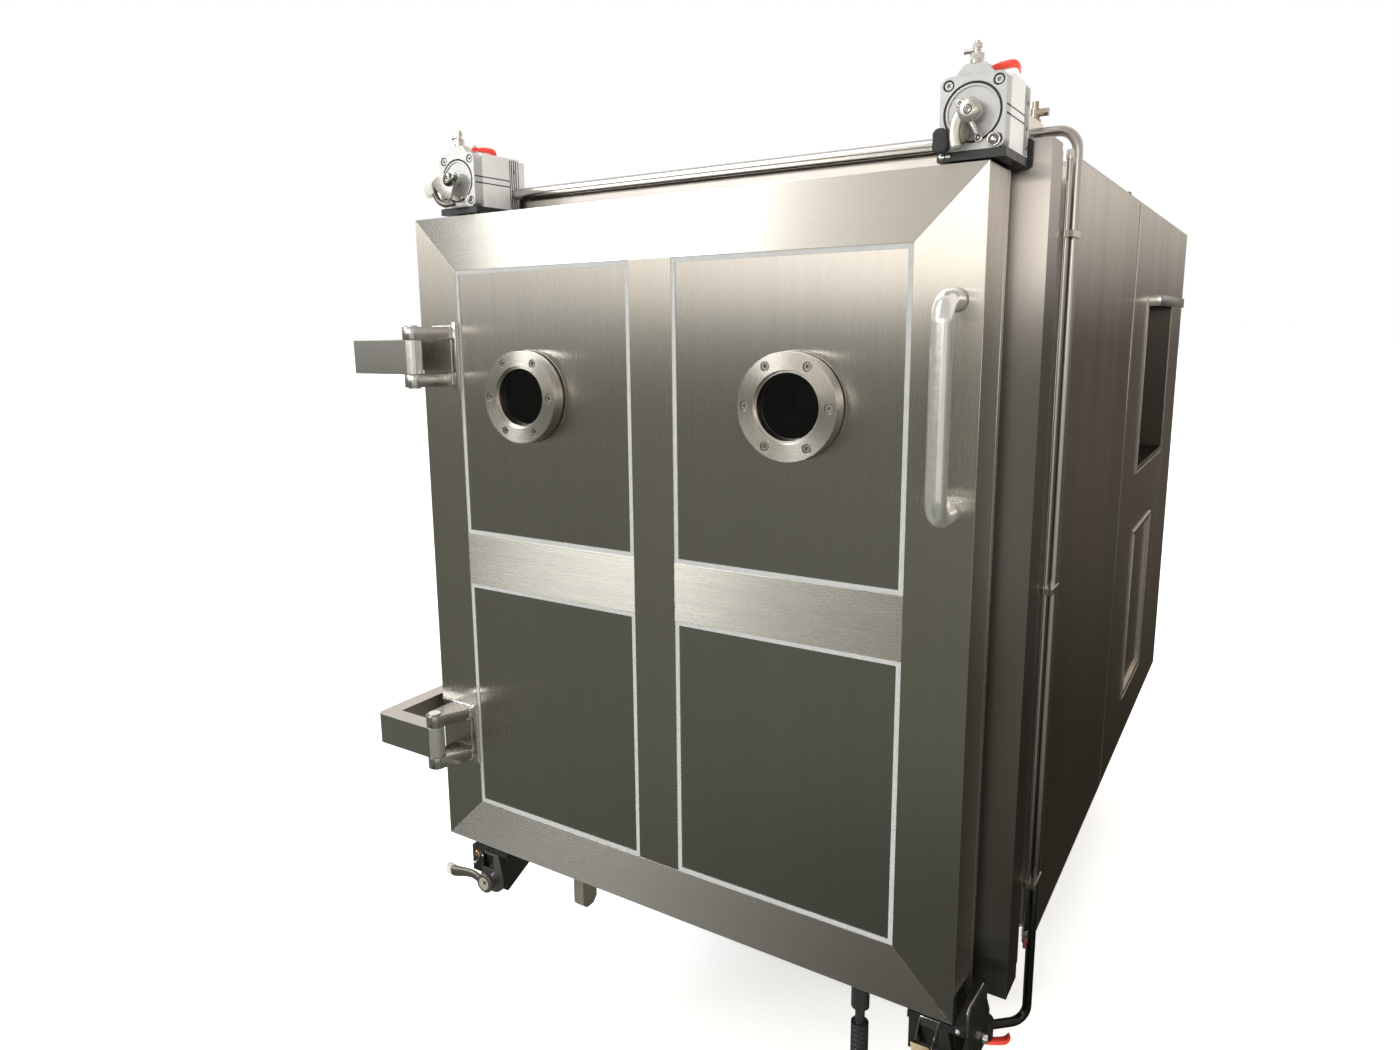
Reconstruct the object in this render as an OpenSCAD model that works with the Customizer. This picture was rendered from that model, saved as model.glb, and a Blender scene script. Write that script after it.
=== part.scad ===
// Box-type vacuum freeze dryer: square brushed-steel door on two strap hinges, four air-driven
// swing clamps round it, an insulated vessel with shelves and an ice condenser behind.
// Millimetres. +Z is up and the door faces -Y. The origin is the middle of the bounding box's base.

/* [Door] */
// Width of the door
door_w = 1100; // [1060:1:1140]
// Height of the door
door_h = 1294; // [1260:1:1330]
// Thickness of the door, front sheet to inner plate
door_t = 109; // [102:1:112]
// Height of the door's lower edge above the floor
door_lift = 495; // [460:1:560]
// Width of the mitred members round the door
border_w = 100; // [90:1:110]
// Width of the upright bar in the middle
centre_bar_w = 85; // [70:1:100]
// Height of the cross bar's face
cross_bar_h = 103; // [80:1:120]
// Height of the cross bar's middle above the door's lower edge
cross_bar_z = 628.5; // [600:0.5:660]
// Thickness of the folded steel sheet of the members and bars
member_sheet = 4; // [3:0.5:6]
// Thickness of the door's inner plate
inner_plate_t = 12; // [10:0.5:16]
// Thickness of the four infill panels
panel_t = 4; // [2:0.5:6]
// Depth of the panels behind the members' faces
panel_recess = 2; // [1.5:0.1:4]
// Width of the sealant bead round each panel
bead_w = 8; // [5:0.5:12]
// Thickness of the sealant bead
bead_t = 1.2; // [0.8:0.1:1.4]
// Width of the door's sealing gasket
gasket_w = 20; // [14:1:24]
// Depth of the gasket's groove in the inner plate
gasket_groove = 6; // [3:0.5:8]

/* [Sight glasses] */
// Distance of each sight glass from the door's middle
sight_x = 269.5; // [240:0.5:290]
// Height of the sight glasses below the door's upper edge
sight_drop = 335; // [320:1:350]
// Radius of the flange rings
ring_r = 84; // [80:0.5:90]
// Thickness of each flange ring
ring_t = 12; // [10:0.5:14]
// Gap between the two flange rings
ring_gap = 1; // [0.5:0.1:2]
// Distance of the front ring's face from the door's face
ring_stand = 34; // [30:0.5:40]
// Radius of the front ring's opening
sight_bore_r = 56.5; // [52:0.5:58]
// Radius of the step inside the front ring
sight_step_r = 52.5; // [51:0.5:55]
// Radius of the glass disc
glass_r = 60; // [59:0.5:61]
// Thickness of the glass disc
glass_t = 12; // [10:0.5:13]
// Outer radius of the neck tube
neck_r = 66; // [62:0.5:70]
// Inner radius of the neck tube
neck_bore_r = 50; // [44:0.5:54]
// Radius of the circle of ring screws
ring_screw_circle_r = 71; // [70:0.5:73]
// Radius of the ring screws' heads
ring_screw_head_r = 6.5; // [5:0.5:7]
// Number of ring screws on each sight glass
ring_screws = 6; // [4:1:8]

/* [Handle] */
// Distance of the handle from the door's middle
handle_x = 513; // [495:1:525]
// Height of the handle's middle below the door's upper edge
handle_drop = 331; // [315:1:360]
// Height between the handle's two feet
handle_span = 300; // [240:1:360]
// Radius of the handle's bar
handle_r = 15; // [12:0.5:18]
// Distance from the door's face to the bar's middle
handle_stand = 62; // [55:1:72]
// Bend radius of the handle's corners
handle_bend_r = 30; // [24:1:36]

/* [Hinges] */
// Distance of the hinge pins from the door's middle
pin_x = 501.5; // [496:0.5:506]
// Distance of the hinge pins in front of the door's face
pin_front = 70; // [66:0.5:76]
// Radius of the hinge pins
pin_r = 12; // [9:0.5:14]
// Height of the lower hinge's middle above the door's lower edge
hinge_low_z = 252; // [240:1:300]
// Height of the upper hinge's middle below the door's upper edge
hinge_high_drop = 262; // [250:1:290]
// Height of the fixed arms
arm_h = 64; // [56:1:72]
// Thickness of the fixed arms' bar, in plan
arm_t = 36; // [32:0.5:40]
// How far the fixed arms stand outside the front frame
arm_out = 58; // [50:1:70]
// Distance of the fixed arms' rear face behind the door's face
arm_rear_y = 186; // [182:1:190]
// Thickness of the hinge leaves' lugs
lug_t = 24; // [20:0.5:28]
// Height gap between a fixed arm and each lug
hinge_gap = 1; // [0.5:0.1:1.5]
// Distance of the leaves' back strip from the door's middle
strip_x = 462; // [455:1:468]
// Width of the leaves' back strip
strip_w = 12; // [8:0.5:16]
// Depth of the leaves' back strip
strip_d = 22; // [16:0.5:26]

/* [Clamps] */
// Distance of the right-hand clamps from the middle
clamp_right_x = 524; // [510:1:535]
// Distance of the left-hand clamps from the middle
clamp_left_x = 431; // [420:1:445]
// Width of the clamp cylinders
clamp_w = 88; // [80:1:92]
// Height of the clamp cylinders
clamp_h = 96; // [90:1:100]
// Length of the clamps' front cap
cap_l = 22; // [18:0.5:26]
// Length of the clamps' barrel
barrel_l = 75; // [70:1:80]
// Length of the clamps' rear cap
rear_cap_l = 26; // [22:0.5:28]
// Radius of the cylinder bore
cylinder_bore_r = 36; // [32:0.5:38]
// Radius of the clamp rods
rod_r = 9; // [7:0.5:11]
// Travel of the clamp rods
clamp_stroke = 12; // [10:0.5:16]
// Thickness of the brackets that carry the clamps
bracket_t = 12; // [10:0.5:14]
// Length of the upper clamps' arms, from the rod to the pad's middle
upper_arm_l = 54; // [50:0.5:58]
// Length of the lower clamps' arms
lower_arm_l = 100; // [90:1:110]
// Radius of the upper clamp arms' hubs
hub_r = 16; // [14:0.5:18]
// Width of the lower clamps' round-ended front plate
low_w = 64; // [58:0.5:68]
// Distance of the lower clamps' rods below their brackets
low_drop = 57; // [54:0.5:64]
// Height of the upper right clamp's upright rubber pad
pad_h = 40; // [30:0.5:42]
// Width of all the rubber pads
pad_w = 24; // [20:0.5:26]
// Length of the valve levers
lever_l = 54; // [48:0.5:60]

/* [Vessel] */
// Width inside the vessel
vessel_w = 900; // [880:1:916]
// Thickness of the vessel's walls
vessel_t = 8; // [6:0.5:10]
// Room before and behind the shelves, together, in the product chamber
chamber_room = 98; // [80:1:110]
// Depth of the condenser chamber
condenser_l = 784; // [740:1:820]
// Radius of the vapour port between the two chambers
vapour_port_r = 210; // [160:1:240]
// Gap between the door's inner plate and the front frame
front_gap = 23; // [20:0.5:26]
// Width of the front frame
frame_w = 1200; // [1190:1:1208]
// How far the front frame stands past the door's upper edge
frame_over = 44; // [40:0.5:50]
// How far the front frame stands past the door's lower edge
frame_under = 22; // [18:0.5:26]
// Thickness of the front frame's face plate
frame_plate_t = 30; // [24:0.5:34]
// Depth of the front frame, front to rear
frame_l = 101; // [96:1:106]
// Depth of the pipe groove beside and over the frame
groove_d = 44; // [38:0.5:48]
// Length of the pipe groove, frame to cladding
groove_l = 152; // [140:1:165]
// Inner radius of the vacuum port's tube
port_bore_r = 51; // [40:0.5:56]
// Height of the vacuum port above the door's lower edge
port_z = 900; // [850:1:950]

// Distance of the drain from the middle
drain_x = 332; // [300:1:360]

/* [Cladding] */
// Width over the cladding
body_w = 1188; // [1184:1:1194]
// Thickness of the cladding sheet
clad_t = 3; // [2:0.5:4]
// Height of the roof above the door's upper edge
roof_over = 46; // [44:0.5:50]
// Depth of the belly sheet below the door's lower edge
belly_under = 45; // [40:0.5:50]
// Distance of the cladding's back from the vessel's back
body_rear_room = 145; // [130:1:160]
// Distance of the side panels' joint from the door's face
seam_y = 1068; // [1000:1:1120]
// Front end of the service recess
recess_y = 1298; // [1270:1:1320]
// Length of the service recess
recess_l = 484; // [440:1:520]
// Lower edge of the service recess above the door's lower edge
recess_z = 715; // [690:1:740]
// Height of the service recess
recess_h = 411; // [380:1:430]
// Depth of the service recess
recess_d = 68; // [50:1:72]
// Width of the rain ledge over the service recess
ledge_w = 30; // [24:0.5:36]
// Front end of the lower hatch
hatch_y = 1342; // [1310:1:1360]
// Length of the lower hatch
hatch_l = 298; // [260:1:340]
// Lower edge of the lower hatch above the door's lower edge
hatch_z = 100; // [80:1:130]
// Height of the lower hatch
hatch_h = 433; // [400:1:460]
// Width of the trim round the recess and the hatch
trim_w = 14; // [10:0.5:18]

/* [Shelves] */
// Number of shelves
shelves_n = 6; // [4:1:7]
// Width of the shelves
shelf_w = 780; // [740:1:790]
// Depth of the shelves
shelf_l = 920; // [880:1:940]
// Thickness of the shelves
shelf_t = 18; // [14:0.5:22]

/* [Stand] */
// Width of the stand
stand_w = 800; // [700:1:860]
// Distance of the stand's front from the door's face
stand_y = 640; // [600:1:700]
// Length of the stand
stand_l = 1280; // [1200:1:1340]
// Width of the stand's square tubes
tube_w = 60; // [50:1:70]
// Wall of the stand's square tubes
tube_wall = 4; // [3:0.5:6]
// Height of the levelling feet
foot_h = 60; // [50:1:80]

/* [Hidden] */
$fn = 48;

// Clearances: running fits of rods and pins, seated pieces, and pieces that pass each other
run_fit = 0.06;
seat_fit = 0.3;
// Height gap between the door's edges and the clamps' brackets
door_pass = 3;

// Door: derived places, all measured from the middle of the door's lower front edge
frame_depth = door_t - inner_plate_t;
cross_z0 = cross_bar_z - cross_bar_h / 2;
cross_z1 = cross_bar_z + cross_bar_h / 2;
field_x0 = centre_bar_w / 2;
field_x1 = door_w / 2 - border_w;
sight_z = door_h - sight_drop;
handle_z = door_h - handle_drop;
hinge_high_z = door_h - hinge_high_drop;
// Each infill field: [x0, x1, z0, z1]
FIELDS = [
  for (side = [-1, 1], row = [[border_w, cross_z0], [cross_z1, door_h - border_w]])
    [min(side * field_x0, side * field_x1), max(side * field_x0, side * field_x1), row[0], row[1]]
];

// Front frame and vessel
frame_y = door_t + front_gap;
frame_x = frame_w / 2;
frame_z0 = -frame_under;
frame_z1 = door_h + frame_over;
vessel_x = vessel_w / 2;
vessel_z0 = border_w;
vessel_z1 = door_h - border_w;
chamber_l = shelf_l + chamber_room;
partition_y = frame_y + chamber_l;
back_wall_y = partition_y + vessel_t + condenser_l;
vessel_rear = back_wall_y + vessel_t;
body_rear = vessel_rear + body_rear_room;
gasket_in = 6;
gasket_x = vessel_x + vessel_t + gasket_in;
gasket_z0 = vessel_z0 - vessel_t - gasket_in;
gasket_z1 = vessel_z1 + vessel_t + gasket_in;
frame_step = 6;
frame_step_y = frame_y + 66;
frame_wall = 8;
frame_rear = frame_y + frame_l;
frame_rear_plate_t = 4;

// Cladding
body_x = body_w / 2;
body_front = frame_rear + groove_l;
clad_y = body_front + clad_t;
roof_z = door_h + roof_over;
belly_z = -belly_under;
neck_x = frame_x - groove_d;
neck_z0 = frame_z0 + groove_d;
neck_z1 = frame_z1 - groove_d;
seam_gap = 2;
insulation_t = 55;
trim_t = 3;
ledge_t = 10;

// Hinges
hinge_zs = [hinge_low_z, hinge_high_z];
arm_reach = frame_x + arm_out;
arm_corner_r = 14;
lug_z = arm_h / 2 + hinge_gap;
pin_tip = 3;

// Clamps. An arm swings down by full_swing from its open place while its rod draws in.
clamp_z = door_pass + bracket_t + clamp_h / 2;
rear_block_l = 20;
rear_block_lift = 17;
rear_block_y = cap_l + barrel_l + rear_cap_l + rear_block_l;
bracket_w = clamp_w + 4;
bracket_up_w = clamp_w + 14;
bracket_up_t = 6;
bracket_up_h = 40;
bracket_round = 6;
full_swing = 90;
rest_swing_ur = 38;
rest_swing_ul = 15;
pad_gap = 0.3;
hub_y1 = -clamp_stroke - 2;
hub_l = 16;
low_hub_r = 21;
arm_y0 = hub_y1 - 14;
arm_y1 = hub_y1 - 4;
pad_y0 = hub_y1 - 15;
nose_l = 10;
piston_y = 46;
piston_l = 14;
boss_h = 14;
valve_y = 45;
valve_x = 6;
valve_h = 8;
low_front_t = 16;
low_housing_w = low_w - 6;
low_bore_r = 12;
low_bore_y = 20;
low_piston_l = 10;
low_bore_l = low_piston_l + clamp_stroke + 4;
low_axis_z = -door_pass - bracket_t - low_drop;
low_lever_turn = 38;
guard_t = 6;
guard_up = 29;
low_tab_z = -95;
stem_r = 3;
lever_z = valve_h + seat_fit;
lever_w = 14;
lever_t = 8;
tip_h = 4;
stem_h = 5;

// Pipes: the upright side pipe, the link over the door and a thin conduit beside the upright
air_pipe_r = 8;
link_pipe_r = 10;
link_pipe_y = cap_l + barrel_l + rear_cap_l / 2 + 2;
link_pipe_z = door_h + 46;
pipe_x = frame_x + 3;
pipe_y = frame_rear + 57;
pipe_bend_r = 30;
pipe_top_z = door_h + 78;
pipe_low_z = -165;
conduit_r = 4.5;
conduit_x = frame_x - 2;
conduit_y = frame_rear + 29;
conduit_z0 = 30;
conduit_z1 = door_h + 30;
joint_z = door_h / 2;
clip_zs = [120, joint_z, door_h - 80];
clip_h = 10;
clip_wall = 1.2;
// Bar behind the upper right clamp that takes the side pipe's upper end
manifold_x = clamp_right_x + 24;
manifold_w = 48;
manifold_half = 14;
socket_l = 22;
// Round valve that takes its lower end, and the arm that carries the valve
low_valve_x = clamp_right_x + 16;
low_valve_y = rear_block_y + 88;
low_valve_r = 20;
low_valve_half = 17;
low_socket = 8;
low_arm_w = 24;
low_arm_h = 26;
low_arm_top = -60;
low_turn = atan2(pipe_y - low_valve_y, pipe_x - low_valve_x);
low_run = norm([pipe_x - low_valve_x, pipe_y - low_valve_y]);
// Stepped fittings, from the seat up: radius, height and number of sides of each step
BREATHER = [[9, 5, 48], [9.5, 8, 6], [5, 7, 48], [6.5, 6, 6], [3.5, 3, 48]];
THROTTLE = [[9, 6, 6], [7, 16, 48], [5, 11, 48]];
CONDUIT_END = [[5.8, 8, 6], [5.5, 6, 48]];
breather_stub_z = 17;
breather_stub_r = 3.5;
knob_r = 6;
knob_l = 20;
knob_z = 16;

// Outer limits, for the origin
left_reach = arm_reach;
right_reach = clamp_right_x + lower_arm_l + pad_w / 2;
front_reach = pin_front + arm_t / 2;
port_rear = body_rear + 55;
drain_y = frame_y + frame_plate_t + 12;
drain_r = 9;
drain_bore_r = 6;
place_x = (left_reach - right_reach) / 2;
place_y = -(port_rear - front_reach) / 2;
drain_end_z = -278;
drain_nut_r = 17;
drain_nut_z1 = -118;
drain_nut_z0 = -172;
drain_tail_r = 15;
drain_tail_z1 = -206;
drain_rib_r = 16.5;
drain_rib_pitch = 10;
drain_notch = 2.5;
lug_x = 299;
lug_w = 26;
lug_end_z = -182;

// ---- helpers -------------------------------------------------------------------------------

// Moves the machine from its door's corner to the origin
module placed() translate([place_x, place_y, door_lift]) children();

module block(x0, x1, y0, y1, z0, z1)
  translate([x0, y0, z0]) cube([x1 - x0, y1 - y0, z1 - z0]);

// Extrudes an outline in X and Z from y0 back to y1
module slab(y0, y1) translate([0, y1, 0]) rotate([90, 0, 0]) linear_extrude(y1 - y0) children();

// Extrudes an outline in Y and Z from x0 to x1
module side_slab(x0, x1)
  translate([x0, 0, 0]) rotate([90, 0, 90]) linear_extrude(x1 - x0) children();

module bar_x(y, z, r, x0, x1) translate([x0, y, z]) rotate([0, 90, 0]) cylinder(r = r, h = x1 - x0);

module bar_y(x, z, r, y0, y1) translate([x, y1, z]) rotate([90, 0, 0]) cylinder(r = r, h = y1 - y0);

module bar_z(x, y, r, z0, z1) translate([x, y, z0]) cylinder(r = r, h = z1 - z0);

// Quarter bend about the Y axis line at x, z: from angle a (0 is +X, 90 is +Z) on by 90 degrees
module bend_xz(x, y, z, bend_r, r, a)
  translate([x, y, z]) rotate([90, 0, 0]) rotate([0, 0, a])
    rotate_extrude(angle = 90) translate([bend_r, 0]) circle(r);

// Quarter bend about the X axis line at y, z: from angle a (0 is +Y, 90 is +Z) on by 90 degrees
module bend_yz(x, y, z, bend_r, r, a)
  translate([x, y, z]) rotate([90, 0, 90]) rotate([0, 0, a])
    rotate_extrude(angle = 90) translate([bend_r, 0]) circle(r);

module rect(x0, x1, y0, y1) translate([x0, y0]) square([x1 - x0, y1 - y0]);

// Rectangular outline with a smaller rectangle cut out
module rect_ring(outer, inner)
  difference() {
    rect(outer[0], outer[1], outer[2], outer[3]);
    rect(inner[0], inner[1], inner[2], inner[3]);
  }

function grown(r, g) = [r[0] - g, r[1] + g, r[2] - g, r[3] + g];

function arc(cx, cy, r, a0, a1, steps = 6) =
  [for (i = [0:steps]) [cx + r * cos(a0 + (a1 - a0) * i / steps), cy + r * sin(a0 + (a1 - a0) * i / steps)]];

// Square of width w and height h with round corners
module round_rect(w, h, r) {
  square([w - 2 * r, h], center = true);
  square([w, h - 2 * r], center = true);
  for (sx = [-1, 1], sy = [-1, 1]) translate([sx * (w / 2 - r), sy * (h / 2 - r)]) circle(r);
}

// ---- door ----------------------------------------------------------------------------------

// Folded channel with mitred ends, its outer edge on the local X axis, open at the back
module mitred_channel(length) {
  half = length / 2;
  difference() {
    slab(0, frame_depth)
      polygon([[-half, 0], [half, 0], [half - border_w, -border_w], [border_w - half, -border_w]]);
    slab(member_sheet, frame_depth)
      polygon([
        [member_sheet - half, -member_sheet], [half - member_sheet, -member_sheet],
        [half - border_w + member_sheet, member_sheet - border_w],
        [border_w - member_sheet - half, member_sheet - border_w]
      ]);
  }
}

// Turns a channel about the door's Y axis and sets its outer edge at x, z
module member_at(x, z, turn) translate([x, 0, z]) rotate([0, turn, 0]) children();

module door_top_member() color("gainsboro") placed() member_at(0, door_h, 0) mitred_channel(door_w);

module door_bottom_member() color("gray") placed() member_at(0, 0, 180) mitred_channel(door_w);

module door_left_member()
  color("darkgray") placed() member_at(-door_w / 2, door_h / 2, -90) mitred_channel(door_h);

module door_right_member()
  color("darkgray") placed() member_at(door_w / 2, door_h / 2, 90) mitred_channel(door_h);

module door_bars() color("silver") placed() {
  difference() {
    block(-field_x0, field_x0, 0, frame_depth, border_w, door_h - border_w);
    block(member_sheet - field_x0, field_x0 - member_sheet, member_sheet, frame_depth, border_w,
      door_h - border_w);
  }
  for (side = [-1, 1]) mirror([side < 0 ? 1 : 0, 0, 0])
    difference() {
      block(field_x0, field_x1, 0, frame_depth, cross_z0, cross_z1);
      block(field_x0, field_x1, member_sheet, frame_depth, cross_z0 + member_sheet,
        cross_z1 - member_sheet);
    }
}

// Round holes for both sight necks, with clearance
module sight_holes(y0, y1)
  for (side = [-1, 1]) bar_y(side * sight_x, sight_z, neck_r + seat_fit, y0, y1);

module door_panels() color("dimgray") placed() difference() {
  for (f = FIELDS) slab(panel_recess, panel_recess + panel_t) rect(f[0], f[1], f[2], f[3]);
  sight_holes(0, door_t);
}

module panel_sealant() color("lightgray") placed()
  for (f = FIELDS) slab(panel_recess - bead_t, panel_recess) rect_ring(f, grown(f, -bead_w));

module door_insulation() color("khaki") placed() difference() {
  for (f = FIELDS) slab(panel_recess + panel_t, frame_depth) rect(f[0], f[1], f[2], f[3]);
  sight_holes(0, door_t);
}

gasket_hole = [-gasket_x, gasket_x, gasket_z0, gasket_z1];

module door_inner_plate() color("silver") placed() difference() {
  block(-door_w / 2, door_w / 2, frame_depth, door_t, 0, door_h);
  sight_holes(0, door_t + 1);
  slab(door_t - gasket_groove, door_t + 1) rect_ring(grown(gasket_hole, gasket_w), gasket_hole);
}

module door_gasket() color("black") placed()
  slab(door_t - gasket_groove, frame_y - seat_fit) rect_ring(grown(gasket_hole, gasket_w), gasket_hole);

// ---- sight glasses -------------------------------------------------------------------------

front_lip = ring_t - 4;
glass_y = front_lip - ring_stand;
rear_ring_y = ring_t + ring_gap - ring_stand;
screw_head_l = 8;
screw_r = 4;
screw_fit = 1;
head_sink = 1;

module at_sights() for (side = [-1, 1]) translate([side * sight_x, 0, sight_z]) children();

module at_ring_screws()
  for (i = [0:ring_screws - 1]) rotate([0, i * 360 / ring_screws, 0])
    translate([ring_screw_circle_r, 0, 0]) children();

module sight_necks() color("silver") placed() at_sights() difference() {
  union() {
    bar_y(0, 0, ring_r, rear_ring_y, rear_ring_y + ring_t);
    bar_y(0, 0, neck_r, rear_ring_y, door_t);
  }
  bar_y(0, 0, neck_bore_r, rear_ring_y - 1, door_t + 1);
  bar_y(0, 0, glass_r + seat_fit, rear_ring_y - 1, glass_y + glass_t);
  at_ring_screws() bar_y(0, 0, screw_r + run_fit, rear_ring_y - 1, rear_ring_y + ring_t + 1);
}

module sight_rings() color("gainsboro") placed() at_sights() difference() {
  bar_y(0, 0, ring_r, -ring_stand, ring_t - ring_stand);
  bar_y(0, 0, sight_bore_r, -ring_stand - 1, glass_y - 3);
  bar_y(0, 0, sight_step_r, -ring_stand - 1, ring_t);
  bar_y(0, 0, glass_r + seat_fit, glass_y, ring_t);
  at_ring_screws() bar_y(0, 0, screw_r + run_fit, -ring_stand - 1, ring_t);
  at_ring_screws()
    bar_y(0, 0, ring_screw_head_r + screw_fit, -ring_stand - 1, screw_head_l + head_sink - ring_stand);
}

module sight_glasses() color("black") placed() at_sights() bar_y(0, 0, glass_r, glass_y, glass_y + glass_t);

module sight_screws() color("dimgray") placed() at_sights() at_ring_screws() difference() {
  union() {
    bar_y(0, 0, ring_screw_head_r, head_sink - ring_stand, head_sink + screw_head_l - ring_stand);
    bar_y(0, 0, screw_r, head_sink - ring_stand, rear_ring_y + ring_t);
  }
  translate([0, head_sink + 4 - ring_stand, 0]) rotate([90, 0, 0])
    cylinder(r = ring_screw_head_r / 2, h = 10, $fn = 6);
}

// ---- handle and hinges ---------------------------------------------------------------------

module door_handle() color("gainsboro") placed() translate([handle_x, 0, handle_z]) {
  half = handle_span / 2;
  leg_y = handle_bend_r - handle_stand;
  for (up = [-1, 1]) bar_y(0, up * half, handle_r, leg_y, 0);
  bend_yz(0, leg_y, half - handle_bend_r, handle_bend_r, handle_r, 90);
  bend_yz(0, leg_y, handle_bend_r - half, handle_bend_r, handle_r, 180);
  bar_z(0, -handle_stand, handle_r, handle_bend_r - half, half - handle_bend_r);
}

// One door-side leaf, its middle at height 0: two lugs and the strip that they are welded to
module hinge_leaf() {
  back_reach = 16;
  for (low = [-lug_z - lug_t, lug_z]) translate([0, 0, low]) difference() {
    linear_extrude(lug_t) union() {
      translate([-pin_x, -pin_front]) circle(arm_t / 2);
      polygon([
        [-pin_x - arm_t / 2, -pin_front], [-pin_x - arm_t / 2, 0], [-strip_x, 0],
        [-strip_x, -strip_d], [arm_t / 2 - pin_x, -pin_front]
      ]);
    }
    bar_z(-pin_x, -pin_front, pin_r + run_fit, -1, lug_t + 1);
  }
  block(-strip_x, strip_w - strip_x, -strip_d, 0, -lug_z - lug_t - back_reach / 2,
    lug_z + lug_t + back_reach / 2);
}

module hinge_leaves() color("silver") placed() for (z = hinge_zs) translate([0, 0, z]) hinge_leaf();

module hinge_pins() color("gainsboro") placed() for (z = hinge_zs)
  bar_z(-pin_x, -pin_front, pin_r, z - lug_z - lug_t - pin_tip, z + lug_z + lug_t + pin_tip);

// Bent flat bar from the pin out past the door's edge and back to the front frame's side
module hinge_arms() color("silver") placed() for (z = hinge_zs)
  translate([0, 0, z - arm_h / 2]) difference() {
    linear_extrude(arm_h) union() {
      translate([-pin_x, -pin_front]) circle(arm_t / 2);
      polygon(concat(
        [[-pin_x, arm_t / 2 - pin_front], [arm_t - arm_reach, arm_t / 2 - pin_front],
          [arm_t - arm_reach, arm_rear_y - arm_t], [-frame_x, arm_rear_y - arm_t],
          [-frame_x, arm_rear_y]],
        arc(arm_corner_r - arm_reach, arm_rear_y - arm_corner_r, arm_corner_r, 90, 180),
        arc(arm_corner_r - arm_reach, arm_corner_r - pin_front - arm_t / 2, arm_corner_r, 180, 270),
        [[-pin_x, -pin_front - arm_t / 2]]
      ));
    }
    bar_z(-pin_x, -pin_front, pin_r + run_fit, -1, arm_h + 1);
  }

// ---- vessel --------------------------------------------------------------------------------

module vessel_sides() color("silver") placed() for (side = [-1, 1]) mirror([side < 0 ? 1 : 0, 0, 0])
  block(vessel_x, vessel_x + vessel_t, frame_y, vessel_rear, vessel_z0, vessel_z1);

// Floor and roof, with the drain's hole near the front of the floor
module vessel_decks() color("silver") placed() difference() {
  for (z = [vessel_z0 - vessel_t, vessel_z1])
    block(-vessel_x - vessel_t, vessel_x + vessel_t, frame_y, vessel_rear, z, z + vessel_t);
  bar_z(drain_x, drain_y, drain_bore_r, vessel_z0 - vessel_t - 1, vessel_z0 + 1);
}

vessel_mid_z = (vessel_z0 + vessel_z1) / 2;

module cross_wall(y, z, r) difference() {
  block(-vessel_x, vessel_x, y, y + vessel_t, vessel_z0, vessel_z1);
  bar_y(0, z, r, y - 1, y + vessel_t + 1);
}

module vessel_partition() color("silver") placed() cross_wall(partition_y, vessel_mid_z, vapour_port_r);

port_tube_t = 3;
port_flange_r = 82.5;
port_flange_t = 12;
port_screw_circle_r = 72.5;
port_screw_r = 4.5;

module vessel_back_wall() color("silver") placed()
  cross_wall(back_wall_y, port_z, port_bore_r + port_tube_t + seat_fit);

module vacuum_port() color("gainsboro") placed() translate([0, 0, port_z]) difference() {
  union() {
    bar_y(0, 0, port_bore_r + port_tube_t, back_wall_y, port_rear);
    bar_y(0, 0, port_flange_r, port_rear - port_flange_t, port_rear);
  }
  bar_y(0, 0, port_bore_r, back_wall_y - 1, port_rear + 1);
  for (i = [0:7]) rotate([0, i * 45, 0])
    bar_y(port_screw_circle_r, 0, port_screw_r, port_rear - port_flange_t - 1, port_rear + 1);
}

module front_frame() color("darkgray") placed() {
  face = [-frame_x, frame_x, frame_z0, frame_z1];
  mouth = [-vessel_x - vessel_t, vessel_x + vessel_t, vessel_z0 - vessel_t, vessel_z1 + vessel_t];
  slab(frame_y, frame_y + frame_plate_t) rect_ring(face, mouth);
  difference() {
    slab(frame_y, frame_step_y) rect_ring(face, grown(face, -frame_wall));
    bar_z(drain_x, drain_y, drain_r + seat_fit, frame_z0 - 1, frame_z0 + frame_wall + 1);
  }
  slab(frame_step_y - frame_wall, frame_rear)
    rect_ring(grown(face, -frame_step), grown(face, -frame_step - frame_wall));
  slab(frame_rear - frame_rear_plate_t, frame_rear)
    rect_ring(grown(face, -frame_step), grown(neck, seat_fit));
}

neck = [-neck_x, neck_x, neck_z0, neck_z1];

// Back of the pipe groove, with a notch in its floor for the drain
module neck_shroud() color("dimgray") placed() difference() {
  slab(frame_y + frame_plate_t, body_front) rect_ring(neck, grown(neck, -clad_t));
  block(drain_x - drain_r - drain_notch, drain_x + drain_r + drain_notch, frame_y,
    drain_y + drain_r + drain_notch, neck_z0 - 1, neck_z0 + clad_t + 1);
}

// ---- cladding ------------------------------------------------------------------------------

// Side sheets in two pieces, their outline in Y and Z
module side_outline() {
  rect(clad_y, seam_y - seam_gap / 2, belly_z + clad_t, roof_z - clad_t);
  rect(seam_y + seam_gap / 2, body_rear - clad_t, belly_z + clad_t, roof_z - clad_t);
}

module cladding_left() color("tan") placed() side_slab(-body_x, clad_t - body_x) side_outline();

recess_cut = [recess_y, recess_y + recess_l, recess_z, recess_z + recess_h];
hatch_cut = [hatch_y, hatch_y + hatch_l, hatch_z, hatch_z + hatch_h];

module plain_rect(r) rect(r[0], r[1], r[2], r[3]);

module cladding_right() color("tan") placed() side_slab(body_x - clad_t, body_x) difference() {
  side_outline();
  plain_rect(recess_cut);
  plain_rect(hatch_cut);
}

module cladding_roof() color("tan") placed()
  block(-body_x, body_x, clad_y, body_rear - clad_t, roof_z - clad_t, roof_z);

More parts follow.
